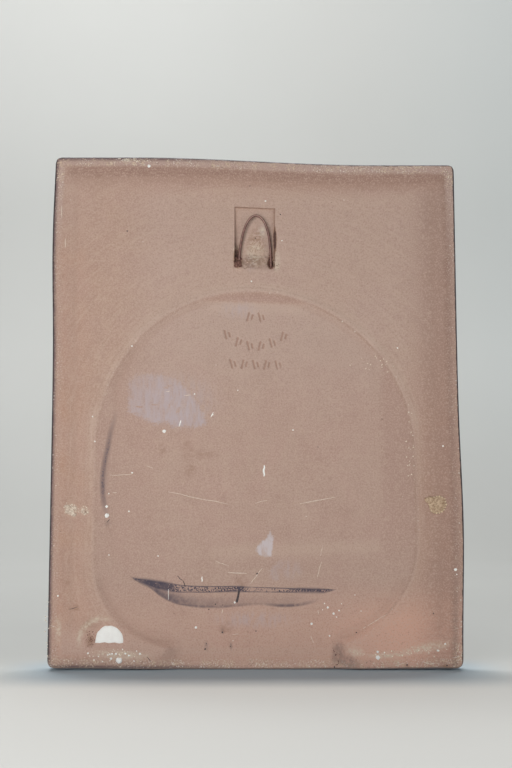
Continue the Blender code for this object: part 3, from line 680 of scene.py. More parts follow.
def stroke_dent(x, z):
    """Depth of the pressed strokes, with soft worn edges."""
    dent_shade = np.zeros_like(x)
    for centre_x, centre_z, lean in stroke_places():
        for side, share in ((1, 1.0), (-1, SHORT_STROKE)):
            dx = x - centre_x - side * STROKE_SPACING / 2
            dz = z - centre_z
            across = dx * math.cos(lean) - dz * math.sin(lean)
            along = np.abs(dx * math.sin(lean) + dz * math.cos(lean))
            half = share * STROKE_LENGTH / 2
            groove = bump(across, 0.0, 0.6 * STROKE_WIDTH) * ease((half + 0.3 * MM - along) / (0.9 * MM))
            dent_shade = np.maximum(dent_shade, STROKE_DEPTH * groove)
    return dent_shade


def pocket_depth(x, z):
    """Depth of the loop's pocket below the panel: shallow at the head, ramped out at the foot."""
    ramp_top = POCKET_FOOT_Z + POCKET_RAMP
    down = clamp((POCKET_HEAD_Z - z) / (POCKET_HEAD_Z - ramp_top))
    floor = POCKET_HEAD_DEPTH + (POCKET_FOOT_DEPTH - POCKET_HEAD_DEPTH) * down
    floor = floor * clamp((z - POCKET_FOOT_Z) / POCKET_RAMP)
    for gap in (POCKET_LEFT - x, x - POCKET_RIGHT, POCKET_HEAD_Z - z):
        floor = floor * clamp(gap / (2 * POCKET_WALL) + 0.5)
    return floor


def fine_back(x, z):
    """The back surface with its pocket, strokes, wire settings and hand-worked unevenness."""
    depth = pocket_depth(x, z)
    crust = waves(x, z, POCKET_CRUST) * ramp(z, CRUST_TOP_Z, CRUST_FULL_Z)
    y = back_level(x, z) - SETTLE - depth + np.where(depth > CRUST_FROM, crust, 0.0)
    hole = np.hypot(x - HOLE_X, z - HOLE_Z)
    y = y - HOLE_DEPTH * ease(1.6 - hole / HOLE_RADIUS)
    plug = np.hypot(x - LOOP_LEFT, (z - PLUG_Z) * 0.9)
    y = y + PLUG_LIFT * ease(1.5 - plug / PLUG_RADIUS) * (1 + 0.35 * rough(x, z, 1.5 * MM, 47, 2))
    crease = bump(inside_floor(x, z), 0.0, CREASE_WIDTH) * ease(inside_hollow(x, z) / WALL_RUN - 0.6)
    y = y - stroke_dent(x, z) + CREASE_LIFT * crease
    panel = ease(outline_gap(x, z) / LAND_WIDTH - 0.6)
    return y + waves(x, z, PANEL_WAVE) * panel + waves(x, z, CLAY_WAVE, 2)


def fine_front(x, z):
    """The front surface with the slight waviness of a thick glaze."""
    return front_level(x, z) + waves(x, z, GLAZE_WAVE)


def spread(stops, steps):
    """Sorted places from stop to stop, each stretch filled at its own step."""
    places = [stops[0]]
    for low, high, step in zip(stops, stops[1:], steps):
        count = max(1, round((high - low) / step))
        places += [low + (high - low) * (i + 1) / count for i in range(count)]
    return np.array(places)


def edge_places(low, high, radius, inner):
    """Adds the lines of the rounded edge at both ends of the places in between."""
    start = [low + share * radius for share in EDGE_SHARES]
    end = [high - share * radius for share in reversed(EDGE_SHARES)]
    return np.concatenate((start, inner, end))


def back_lines():
    """Grid lines of the back, finer at the strokes and along the pocket's walls."""
    row_half = 3 * ROW_STEP
    x_stops = (-HALF_WIDTH + BACK_ROUND, -row_half, POCKET_RIGHT - POCKET_WALL, POCKET_RIGHT + POCKET_WALL,
               POCKET_LEFT - POCKET_WALL, POCKET_LEFT + POCKET_WALL, row_half, HALF_WIDTH - BACK_ROUND)
    x_steps = (BACK_STEP, MARK_STEP, ONE_CELL, MARK_STEP, ONE_CELL, MARK_STEP, BACK_STEP)
    z_stops = (BOTTOM_Z + BACK_ROUND, MARKS_LOW_Z, MARKS_HIGH_Z, POCKET_LOW_Z, POCKET_HEAD_Z - POCKET_WALL,
               POCKET_HEAD_Z + POCKET_WALL, TOP_Z - BACK_ROUND)
    z_steps = (BACK_STEP, MARK_STEP, BETWEEN_STEP, POCKET_STEP, ONE_CELL, BACK_STEP)
    x = edge_places(-HALF_WIDTH, HALF_WIDTH, BACK_ROUND, spread(x_stops, x_steps))
    z = edge_places(BOTTOM_Z, TOP_Z, BACK_ROUND, spread(z_stops, z_steps))
    return x, z


def front_lines():
    """Grid lines of the front."""
    x = spread((-HALF_WIDTH + FRONT_ROUND, HALF_WIDTH - FRONT_ROUND), (FRONT_STEP,))
    z = spread((BOTTOM_Z + FRONT_ROUND, TOP_Z - FRONT_ROUND), (FRONT_STEP,))
    return (edge_places(-HALF_WIDTH, HALF_WIDTH, FRONT_ROUND, x),
            edge_places(BOTTOM_Z, TOP_Z, FRONT_ROUND, z))


def surface_grid(lines, level, radius, side):
    """Points of one face of the plaque; side is 1 for the back and -1 for the front."""
    x, z = np.meshgrid(lines[0], lines[1])
    share = clamp(outline_gap(x, z) / radius)
    drop = radius * (1 - np.sqrt(1 - (1 - share) ** 2))
    y = level(x, z) - side * drop
    real_x, real_z = warp(*round_corners(x, z))
    return x, z, np.stack((real_x, y, real_z), axis=-1)


def grid_faces(rows, columns, start, side):
    """Quads of a grid, facing +Y for the back and -Y for the front."""
    index = np.arange(rows * columns).reshape(rows, columns) + start
    a, b = index[:-1, :-1], index[:-1, 1:]
    c, d = index[1:, 1:], index[1:, :-1]
    order = (a, d, c, b) if side > 0 else (a, b, c, d)
    return np.stack(order, axis=-1).reshape(-1, 4).tolist()


def border(rows, columns, start):
    """Indices of the points round the grid's edge, four sides in turn."""
    index = np.arange(rows * columns).reshape(rows, columns) + start
    sides = (index[0, :-1], index[:-1, -1], index[-1, :0:-1], index[:0:-1, 0])
    return [int(i) for side in sides for i in side]


def border_places(lines):
    """Place along the edge, 0 to 4, of each border point, from its x or z."""
    x = (lines[0] - lines[0][0]) / (lines[0][-1] - lines[0][0])
    z = (lines[1] - lines[1][0]) / (lines[1][-1] - lines[1][0])
    return np.concatenate((x[:-1], 1 + z[:-1], 2 + (1 - x[:0:-1]), 3 + (1 - z[:0:-1])))


def stitch(outer, outer_place, inner, inner_place):
    """Triangles that join two closed borders of different counts."""
    faces = []
    i = j = 0
    while i < len(outer) or j < len(inner):
        next_outer = outer_place[i + 1] if i + 1 < len(outer) else 4.0
        next_inner = inner_place[j + 1] if j + 1 < len(inner) else 4.0
        a, b = outer[i % len(outer)], inner[j % len(inner)]
        if j >= len(inner) or (i < len(outer) and next_outer <= next_inner):
            faces.append((a, outer[(i + 1) % len(outer)], b))
            i += 1
        else:
            faces.append((a, inner[(j + 1) % len(inner)], b))
            j += 1
    return faces


def picture_place(points):
    """The photograph's column and row for points of shape (..., 3)."""
    dx = points[..., 0] - CAMERA_PLACE[0]
    dy = points[..., 1] - CAMERA_PLACE[1]
    dz = points[..., 2] - CAMERA_PLACE[2]
    depth = dz * math.sin(CAMERA_PITCH) - dy * math.cos(CAMERA_PITCH)
    rise = dz * math.cos(CAMERA_PITCH) + dy * math.sin(CAMERA_PITCH)
    return PICTURE_WIDTH / 2 - FOCAL_PX * dx / depth, PICTURE_HEIGHT / 2 - FOCAL_PX * rise / depth


def unwarp(x, z):
    """The place on the true rectangle of a point of the crooked one."""
    flat_x, flat_z = x, z
    for _ in range(4):
        moved_x, moved_z = warp(flat_x, flat_z)
        flat_x, flat_z = flat_x + x - moved_x, flat_z + z - moved_z
    return flat_x, flat_z


def skin(x, z):
    """y of the finished back at a real place."""
    return fine_back(*unwarp(np.asarray(x, float), np.asarray(z, float)))


def on_skin(u, v):
    """Real x and z where a pixel of the photograph meets the finished back."""
    y = PANEL_BACK
    for _ in range(3):
        x, z = on_back(u, v, y)
        y = float(skin(x, z))
    return x, z


def through(points, at):
    """Values at the given places of a smooth line through (place, value) points."""
    place = np.array([p[0] for p in points], float)
    value = np.array([p[1] for p in points], float)
    slope = np.gradient(value, place)
    i = np.clip(np.searchsorted(place, at) - 1, 0, len(place) - 2)
    run = place[i + 1] - place[i]
    t = clamp((at - place[i]) / run)
    start = (1 + 2 * t) * (1 - t) ** 2 * value[i] + t * (1 - t) ** 2 * run * slope[i]
    end = t * t * (3 - 2 * t) * value[i + 1] + t * t * (t - 1) * run * slope[i + 1]
    return start + end


def steps(points, at):
    """Values at the given places of straight runs through (place, value) points."""
    return np.interp(at, [p[0] for p in points], [p[1] for p in points])


def oval(u, v, centre, radii, turn=0.0):
    """1 at the middle of an oval, 0 at its edge and negative outside."""
    turn = math.radians(turn)
    du, dv = u - centre[0], v - centre[1]
    a = (du * math.cos(turn) + dv * math.sin(turn)) / radii[0]
    b = (dv * math.cos(turn) - du * math.sin(turn)) / radii[1]
    return 1 - np.hypot(a, b)


def ovals(u, v, shapes):
    """The highest of several ovals."""
    return np.max([oval(u, v, *shape) for shape in shapes], axis=0)


def closed_gap(u, v, points):
    """Distance in from a closed outline of points, negative outside it."""
    nearest = np.full(np.shape(u), np.inf)
    inside = np.zeros(np.shape(u), bool)
    for (au, av), (bu, bv) in zip(points, points[1:] + points[:1]):
        du, dv = bu - au, bv - av
        share = clamp(((u - au) * du + (v - av) * dv) / (du * du + dv * dv))
        nearest = np.minimum(nearest, np.hypot(u - au - share * du, v - av - share * dv))
        if dv != 0:
            crossed = ((av > v) != (bv > v)) & (u < au + (v - av) * du / dv)
            inside = inside ^ crossed
    return np.where(inside, nearest, -nearest)


# Lines of the glaze stains in the photograph: (column, row), or (row, column) for the upright one
BAR_LINE = ((124, 573.5), (136, 578), (148, 579.6), (160, 581.4), (174, 583.8), (240, 586.3), (336, 589.2))
BAR_THICK = (
    (128, 0), (142, 5.4), (156, 9.4), (172, 9), (190, 7.2), (240, 6), (300, 4.8), (324, 4.4), (339, 0),
)
BAR_FILL = (
    (126, 0), (136, 0.42), (142, 0.8), (148, 0.92), (164, 0.92), (178, 0.55), (186, 0.4), (192, 0.46),
    (224, 0.46), (231, 0.64), (242, 0.64), (250, 0.26), (286, 0.4), (300, 0.7), (318, 0.74), (328, 0.6),
    (338, 0),
)
BOWL_LINE = (
    (137, 580), (152, 589), (160, 595.6), (172, 602), (190, 606), (213, 607.5), (240, 605.8), (258, 604.4),
    (282, 606.4), (300, 605.4), (318, 601), (336, 593),
)
BOWL_DARK = (
    (132, 0), (140, 0.8), (160, 0.85), (180, 0.8), (215, 0.76), (235, 0.6), (252, 0.36), (266, 0.42),
    (282, 0.9), (296, 0.86), (306, 0.5), (320, 0),
)
BOWL_GLOW = (
    (134, 0), (140, 1), (172, 1), (182, 0.8), (196, 0.62), (220, 0.45), (250, 0.26), (270, 0.24),
    (290, 0.36), (312, 0),
)
ARC_LINE = (
    (414, 112.5), (424, 110), (432, 107.8), (448, 104.8), (465, 101.3), (475, 100.2), (486, 99.8),
    (496, 100.2), (506, 101.7), (516, 104.2),
)
ARC_DARK = ((408, 0), (420, 0.25), (434, 0.6), (448, 0.9), (486, 1), (500, 0.8), (510, 0.4), (520, 0))
ARC_WIDTH = ((408, 4), (440, 8), (480, 10), (500, 8), (520, 4))

# Outlines of the three lilac films, in the photograph's pixels
FILM_PATCH = (
    (128, 379), (140, 374), (160, 374), (175, 378), (185, 387), (195, 398), (203, 411), (207, 423),
    (198, 427.5), (172, 427), (168, 421.5), (155, 424), (143, 419), (135, 414), (128, 412),
)
FILM_LEAF = (
    (270.4, 530.8), (273.8, 538), (272.1, 547.5), (272, 556), (265, 556.7), (259.6, 555.4), (256, 551),
    (256.5, 547.5), (263, 540), (264.8, 540.4), (268.8, 533.3),
)
FILM_TRACE = (
    (279, 560), (288, 561), (284, 566), (281, 572), (279, 580), (273, 581), (269, 570), (273, 566),
)
PATCH_FAINT = (124, 368)
PATCH_FULL = (165, 400)
PATCH_STRENGTH = 0.40
LEAF_STRENGTH = 1.3
TRACE_STRENGTH = 0.45
PATCH_SLOPE = 0.45
TRACE_SLOPE = 0.6
GAP_SLOPE = 6.0

# Ovals of the thinner marks: centre and radii in pixels, then a turn in degrees
FILM_GAPS = (
    ((172, 402.5), (1.7, 5.5), 30), ((178.6, 410), (1.7, 4.5), 35), ((168, 387), (4.5, 1.3), -10),
    ((139, 407.5), (5, 1), -4), ((154.5, 404.5), (3.5, 0.9), -6),
)
HAZE_SHAPES = (
    ((238, 310), (26, 13)), ((255, 620), (60, 12)), ((292, 570), (14, 14)), ((180, 400), (52, 36)),
    ((262, 232), (7, 10)), ((250, 262), (8, 14)),
)
SMEAR_SHAPES = (
    ((162, 449), (5.5, 8)), ((188, 450), (9, 14)), ((66, 582), (5.5, 4)), ((88, 626), (16, 12)),
    ((190, 471), (7, 11)), ((241, 583), (9, 8)), ((200, 455), (26, 6)), ((226, 627), (10, 9)),
)
# Dark ovals: the first two are painted shade by the channel's right wall at the foot, the rest are smudges
DIRT_AND_SHADE_SHAPES = (
    ((338, 654), (8, 17), 8), ((348, 662), (16, 8), 12), ((222.5, 631), (2.6, 3.4)), ((206, 646), (2.2, 6)),
    ((231, 646), (1.8, 5)), ((108, 523), (4.5, 2.5), -40), ((241, 588), (6, 4.5)),
)
RUST_SHAPES = (
    ((90, 641), (5.5, 9), 15), ((434, 613.5), (2.5, 2)), ((407, 666), (4.5, 2.5)), ((447, 666), (8, 3)),
    ((270.5, 263), (4, 8)), ((237, 259), (6, 12)), ((75, 608), (7, 3), -15),
)
DUST_SHAPES = (
    ((426, 648), (36, 6), -12), ((390, 655), (30, 4), -3), ((355, 652), (12, 6)),
    ((122, 655), (40, 5.5), 3), ((71, 510), (9, 8)), ((84, 511), (6, 5)), ((277, 262), (4.5, 14)),
    ((236, 249), (4, 5)), ((256, 254), (13, 15)), ((262, 232), (5, 8)), ((128, 160), (5, 3)),
    ((58, 630), (3.5, 16)),
)
DEBRIS_SHAPES = (((256, 246), (12, 25)), ((254, 262), (18, 9)))
# Crust at the wire's feet, darker in the right foot's hole as painted shade, and a painted shadow along the
# pocket's right wall in the last oval
GRIME_AND_SHADE_SHAPES = (
    ((236.5, 256), (3.6, 13)), ((238, 262.5), (5.2, 7.5)), ((270.5, 262.5), (4.4, 8.5)),
    ((274.8, 240), (2.4, 18)),
)
STROKE_ZONE = ((252, 343), (50, 37))
RING_CENTRE = (103.5, 643.5)
RING_RADIUS = 25.0
RING_WIDTH = 2.0
RING_STRENGTH = 1.3
SMEAR_STRENGTH = 0.46
CORNER_SHADE = 0.55


def blot(u, v, shapes, hardness=1.4):
    """1 inside the ovals, easing to 0 at their edges; the harder, the narrower the easing."""
    return ease(ovals(u, v, shapes) * hardness)


def film_fields(u, v):
    """Distance in from the films' edges in mm, the share of haze, and the strength of each film."""
    patch = closed_gap(u, v, FILM_PATCH)
    leaf = closed_gap(u, v, FILM_LEAF)
    film = np.maximum(np.maximum(PATCH_SLOPE * patch, leaf), TRACE_SLOPE * closed_gap(u, v, FILM_TRACE))
    film = np.minimum(film, -ovals(u, v, FILM_GAPS) * GAP_SLOPE) * PIXEL_MM
    full = ((u - PATCH_FAINT[0]) + (v - PATCH_FAINT[1])) / (sum(PATCH_FULL) - sum(PATCH_FAINT))
    patch_strength = PATCH_STRENGTH + (1 - PATCH_STRENGTH) * ease(full)
    strength = np.where(patch > -4, patch_strength, np.where(leaf > -3, LEAF_STRENGTH, TRACE_STRENGTH))
    return film, blot(u, v, HAZE_SHAPES, 1), strength


def felt_ring(u, v):
    """Share of the pale ring left by a felt dot, fading out on its lower right."""
    centre_u, centre_v = RING_CENTRE
    ring = RING_STRENGTH * bump(np.hypot(u - centre_u, v - centre_v), RING_RADIUS, RING_WIDTH)
    return ring * ramp(u, centre_u + 12, centre_u - 4) * ramp(v, centre_v + 8, centre_v - 8)


def stain_fields(points):
    """Vector fields of the marks, as the shader reads them: distances are in mm, the rest are shares."""
    u, v = picture_place(points)
    flat = unwarp(points[..., 0], points[..., 2])
    rust = np.maximum(blot(u, v, RUST_SHAPES), SMEAR_STRENGTH * blot(u, v, SMEAR_SHAPES, 1.5))
    dust = np.maximum(blot(u, v, DUST_SHAPES), felt_ring(u, v))
    debris = blot(u, v, DEBRIS_SHAPES, 1.6) * ramp(pocket_depth(*flat), 0.0, 0.5 * MM)
    # Painted shade along the pocket's corners, joined with the dark ovals at the wire's feet
    grime_and_shade = np.maximum(CORNER_SHADE * pocket_shade_line(*flat), blot(u, v, GRIME_AND_SHADE_SHAPES, 1.5))
    return {
        "bar": ((v - through(BAR_LINE, u)) * PIXEL_MM, steps(BAR_THICK, u) * PIXEL_MM, steps(BAR_FILL, u)),
        "bowl": ((through(BOWL_LINE, u) - v) * PIXEL_MM, steps(BOWL_DARK, u), steps(BOWL_GLOW, u)),
        "arc": ((u - through(ARC_LINE, v)) * PIXEL_MM, steps(ARC_DARK, v), steps(ARC_WIDTH, v) * PIXEL_MM),
        "film": film_fields(u, v),
        "marks": (blot(u, v, DIRT_AND_SHADE_SHAPES), rust, dust),
        "pocket": (debris, blot(u, v, (STROKE_ZONE,), 4), grime_and_shade),
    }


def pocket_shade_line(x, z):
    """1 along the corner where the pocket's sides and head meet the panel, strongest low down and on the
    right wall: painted shade in the corner.
    """
    across = np.minimum(POCKET_LEFT - x, x - POCKET_RIGHT)
    head = POCKET_HEAD_Z - z
    low = 0.55 + 0.45 * ramp(z, 0.0, -0.025)
    side = np.where(head < across, 1.0, 0.45 + 0.55 * ramp(x, 0.0, -0.008))
    line = bump(np.minimum(across, head), 0.3 * MM, 0.6 * MM)
    return line * low * side * ramp(z, POCKET_FOOT_Z, POCKET_FOOT_Z + 3 * MM)


def painted_light_fields(x, z):
    """Shares of the painted shade in the coves and on the hollow's slopes, and of the painted highlight and
    shade along the floor's lines.
    """
    top, left, right = TOP_Z - z, HALF_WIDTH - x, HALF_WIDTH + x
    # Painted shade in the coves, in from the top and from the right side
    top_shade = bands(top, TOP_COVE_SHADE) * ramp(left, 3 * MM, 12 * MM)
    right_shade = bands(right, RIGHT_COVE_SHADE) * ramp(top, 4 * MM, 12 * MM)
    cove = clamp(np.maximum(top_shade, right_shade))
    beyond = slope_width(x, z)
    # Painted shade on the hollow's slopes, mostly on the right side and at the apex
    side = np.maximum(np.where(x > 0, 0.15, 1.0), ramp(z, -0.062, -0.054))
    low_slope = ramp(beyond, 0.0, 8 * MM) * side * (0.25 + 0.50 * ramp(z, -0.205, -0.145))
    head_slope = ramp(z, -0.064, -0.054) * ramp(beyond, 0.0, 2.2 * MM)
    slope = ramp(inside_hollow(x, z), 0.0, 1.5 * MM) * np.maximum(low_slope, head_slope)
    # Painted highlight just above the floor's lower line and painted shade below it, and painted highlight
    # just below its upper line
    foot = z - FOOT_LINE_Z - FOOT_LINE_SLOPE * x
    foot_span = ramp(x, 0.050, 0.010) * ramp(x, -FLOOR_RIGHT - 0.003, -FLOOR_RIGHT)
    head_span = ramp(np.abs(x), 0.034, 0.024)
    shelf = bands(foot, FOOT_LINE_LIGHT) * foot_span + bands(-FLOOR_TOP - z, HEAD_LINE_LIGHT) * head_span
    return cove, slope, shelf


def both(back, front):
    """Values of the back's points followed by the front's."""
    return np.concatenate((back.ravel(), front.ravel()))


def body_fields(back, front):
    """All vector fields of the body: the back's marks, none on the front, and where each point lies."""
    back_x, back_z, back_points = back
    front_x, front_z, front_points = front
    off = np.full(front_x.size, OFF_MM)
    none = np.zeros(front_x.size)
    joined = {}
    for name, parts in stain_fields(back_points).items():
        blank = (none if name in ("marks", "pocket") else off, none, none)
        joined[name] = [both(part, rest) for part, rest in zip(parts, blank)]
    joined["place"] = (both(outline_gap(back_x, back_z) / MM, off),
                       both(inside_hollow(back_x, back_z), inside_hollow(front_x, front_z)) / MM,
                       both(ridges(back_points[..., 1]), ridges(-front_points[..., 1])))
    joined["painted_light"] = [both(share, none) for share in painted_light_fields(back_x, back_z)]
    return {name: np.stack(columns, axis=-1) for name, columns in joined.items()}


def ridges(height):
    """How far each point stands above the mean of its surroundings, in mm."""
    mean = height
    for _ in range(RIDGE_ROUNDS):
        padded = np.pad(mean, 1, mode="edge")
        mean = (padded[:-2, 1:-1] + padded[2:, 1:-1] + padded[1:-1, :-2] + padded[1:-1, 2:]) / 4
    return (height - mean) / MM


def make_object(name, vertices, faces, material, fields=None, smooth=True):
    """A mesh piece that rides on the plaque, kept inside the box of the CAD."""
    mesh = bpy.data.meshes.new(name)
    mesh.from_pydata(np.clip(vertices, *CAD_BOX).tolist(), [], faces)
    mesh.validate()
    for field, values in (fields or {}).items():
        attribute = mesh.attributes.new(field, "FLOAT_VECTOR", "POINT")
        attribute.data.foreach_set("vector", np.ascontiguousarray(values, dtype=np.float32).ravel())
    if smooth:
        mesh.shade_smooth()
        mesh.set_sharp_from_angle(angle=SHARP_ANGLE)
    mesh.materials.append(material)
    piece = bpy.data.objects.new(name, mesh)
    bpy.context.scene.collection.objects.link(piece)
    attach(piece, "root")
    return piece


def make_body(material):
    """The whole clay body as one closed fine mesh: back, front and the stitched edge between them."""
    back = surface_grid(back_lines(), fine_back, BACK_ROUND, 1)
    front = surface_grid(front_lines(), fine_front, FRONT_ROUND, -1)
    back_shape, front_shape = back[0].shape, front[0].shape
    vertices = np.concatenate((back[2].reshape(-1, 3), front[2].reshape(-1, 3))).tolist()
    start = back[0].size
    faces = grid_faces(*back_shape, 0, 1) + grid_faces(*front_shape, start, -1)
    outer = border(*back_shape, 0)
    inner = border(*front_shape, start)
    faces += stitch(outer, border_places(back_lines()), inner, border_places(front_lines()))
    body = make_object("plaque_clay", vertices, faces, material, body_fields(back, front))
    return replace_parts(body, "plaque_body")


def tube(points, radii, sides):
    """Vertices and faces of a closed round tube along points, with its own radius at each point."""
    points = np.array(points)
    along = np.gradient(points, axis=0)
    along /= np.linalg.norm(along, axis=1, keepdims=True)
    side = np.cross(along, (0.0, 1.0, 0.0))
    side /= np.linalg.norm(side, axis=1, keepdims=True)
    up = np.cross(side, along)
    vertices, faces = [], []
    for i, radius in enumerate(radii):
        for k in range(sides):
            turn = 2 * math.pi * k / sides
            vertices.append(tuple(points[i] + radius * (math.cos(turn) * side[i] + math.sin(turn) * up[i])))
    for i in range(len(points) - 1):
        for k in range(sides):
            a, b = i * sides + k, i * sides + (k + 1) % sides
            faces.append((a, a + sides, b + sides, b))
    faces.append(tuple(range(sides)))
    faces.append(tuple(reversed(range((len(points) - 1) * sides, len(points) * sides))))
    return vertices, faces


def loop_route():
    """Centreline of the bent wire, a little kinked as if bent by hand."""
    height = LOOP_HEIGHT + WIRE_RADIUS
    left, right = [], []
    for i in range(LOOP_STEPS + 1):
        turn = math.pi / 2 * i / LOOP_STEPS
        for arm, width, bend in ((left, LOOP_LEFT, LEFT_BEND), (right, -LOOP_RIGHT, RIGHT_BEND)):
            arm.append((width * math.cos(turn), -LOOP_HEIGHT + height * math.sin(turn) ** (2 / bend)))
    head = [(LOOP_LEFT, -LOOP_HEIGHT - step) for step in (SET_DEPTH, SET_DEPTH / 2)]
    tail = [(-LOOP_RIGHT, -LOOP_HEIGHT - step) for step in (SET_DEPTH / 2, SET_DEPTH)]
    route = head + left + right[-2::-1] + tail
    lean_run = LOOP_HEIGHT * LEAN_SHARE
    return [(x, -LOOP_LEAN * float(ease(-z / lean_run)), z) for x, z in route]


def make_wire(material):
    """The hanging wire, of uneven thickness with crusted clay on it."""
    route = np.array(loop_route())
    radii = [WIRE_RADIUS * (1 + WIRE_UNEVEN * (float(noise(x, z, 2.3 * MM, 61)) - 1)) for x, _, z in route]
    vertices, faces = tube(route, radii, WIRE_SIDES)
    wire = make_object("loop_wire", vertices, faces, material)
    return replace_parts(wire, "hanging_loop")


def add_patch(vertices, faces, outline, lift, sink, waves=0.0, seed=1):
    """A low closed cake on the back: a sunk ring, raised rings inside it, a middle, and an underside."""
    outline = np.array(outline)
    centre = outline.mean(axis=0)
    count = len(outline)
    start = len(vertices)
    rings = [(1.0, -sink)] + [(share, height * lift) for share, height in CAKE_RINGS]
    for share, height in rings:
        x, z = (centre + (outline - centre) * share).T
        wave = waves * rough(x, z, 2.2 * MM, seed, 2) if height > 0 else 0.0
        vertices += np.stack((x, skin(x, z) + height + wave, z), axis=-1).tolist()
    middle = float(skin(*centre))
    vertices += [(centre[0], middle + lift, centre[1]), (centre[0], middle - sink, centre[1])]
    top = start + len(rings) * count
    for ring in range(len(rings) - 1):
        for k in range(count):
            a, b = start + ring * count + k, start + ring * count + (k + 1) % count
            faces.append((a, b, b + count, a + count))
    last = top - count
    for k in range(count):
        faces.append((last + k, last + (k + 1) % count, top))
        faces.append((start + (k + 1) % count, start + k, top + 1))


def jitter(column, row, seed):
    """One repeatable random value from -1 to 1."""
    return 2 * lattice(column, row, seed) - 1


def round_outline(u, v, radius, seed, count=12, uneven=0.16, stretch=1.0):
    """Points round an uneven drop, in the order that faces it to +Y."""
    x, z = on_skin(u, v)
    outline = []
    for k in range(count):
        turn = -2 * math.pi * k / count
        reach = radius * (1 + uneven * jitter(k, seed, 7))
        outline.append((x + reach * stretch * math.cos(turn), z + reach * math.sin(turn)))
    return outline


def make_drops(name, drops, material, lift_share):
    """Small uneven drops or specks of the listed sizes, as one piece."""
    vertices, faces = [], []
    for seed, (u, v, radius) in enumerate(drops):
        radius = radius * MM
        outline = round_outline(u, v, radius, seed, 14 if radius > MM else 9)
        add_patch(vertices, faces, outline, lift_share * radius, DROP_SINK, 0.06 * radius, seed)
    return make_object(name, vertices, faces, material)


def make_scuffs(name, scuffs, material, lift):
    """Thin slightly uneven scratches and dashes, as one piece."""
    vertices, faces = [], []
    for seed, (start, end, width) in enumerate(scuffs):
        a, b = np.array(on_skin(*start)), np.array(on_skin(*end))
        length = math.dist(a, b)
        count = max(3, round(length / SCUFF_STEP))
        side = np.array((a[1] - b[1], b[0] - a[0])) / length
        left, right = [], []
        for i in range(count + 1):
            share = i / count
            swell = math.sin(math.pi * min(max(share, 0.04), 0.96)) ** 0.5
            taper = SCUFF_TAPER + (1 - SCUFF_TAPER) * swell
            half = width * MM / 2 * taper * (1 + 0.25 * jitter(i, seed, 3))
            drift = SCUFF_DRIFT * float(noise(share * 0.02, seed * 0.01, 4 * MM, 5))
            middle = a + (b - a) * share + side * drift
            left.append(tuple(middle + side * half))
            right.append(tuple(middle - side * half))
        add_ribbon(vertices, faces, left, right, lift)
    return make_object(name, vertices, faces, material)


def add_ribbon(vertices, faces, left, right, lift):
    """A thin closed strip between two lines of points, lying on the back."""
    count = len(left)
    start = len(vertices)
    for line, height in ((left, lift), (right, lift), (right, -lift), (left, -lift)):
        x, z = np.array(line).T
        vertices += np.stack((x, skin(x, z) + height, z), axis=-1).tolist()
    for i in range(count - 1):
        for row in range(4):
            a = start + row * count + i
            b = start + (row + 1) % 4 * count + i
            faces.append((a, a + 1, b + 1, b))
    ends = [start + row * count for row in range(4)]
    faces.append(tuple(ends))
    faces.append(tuple(index + count - 1 for index in reversed(ends)))


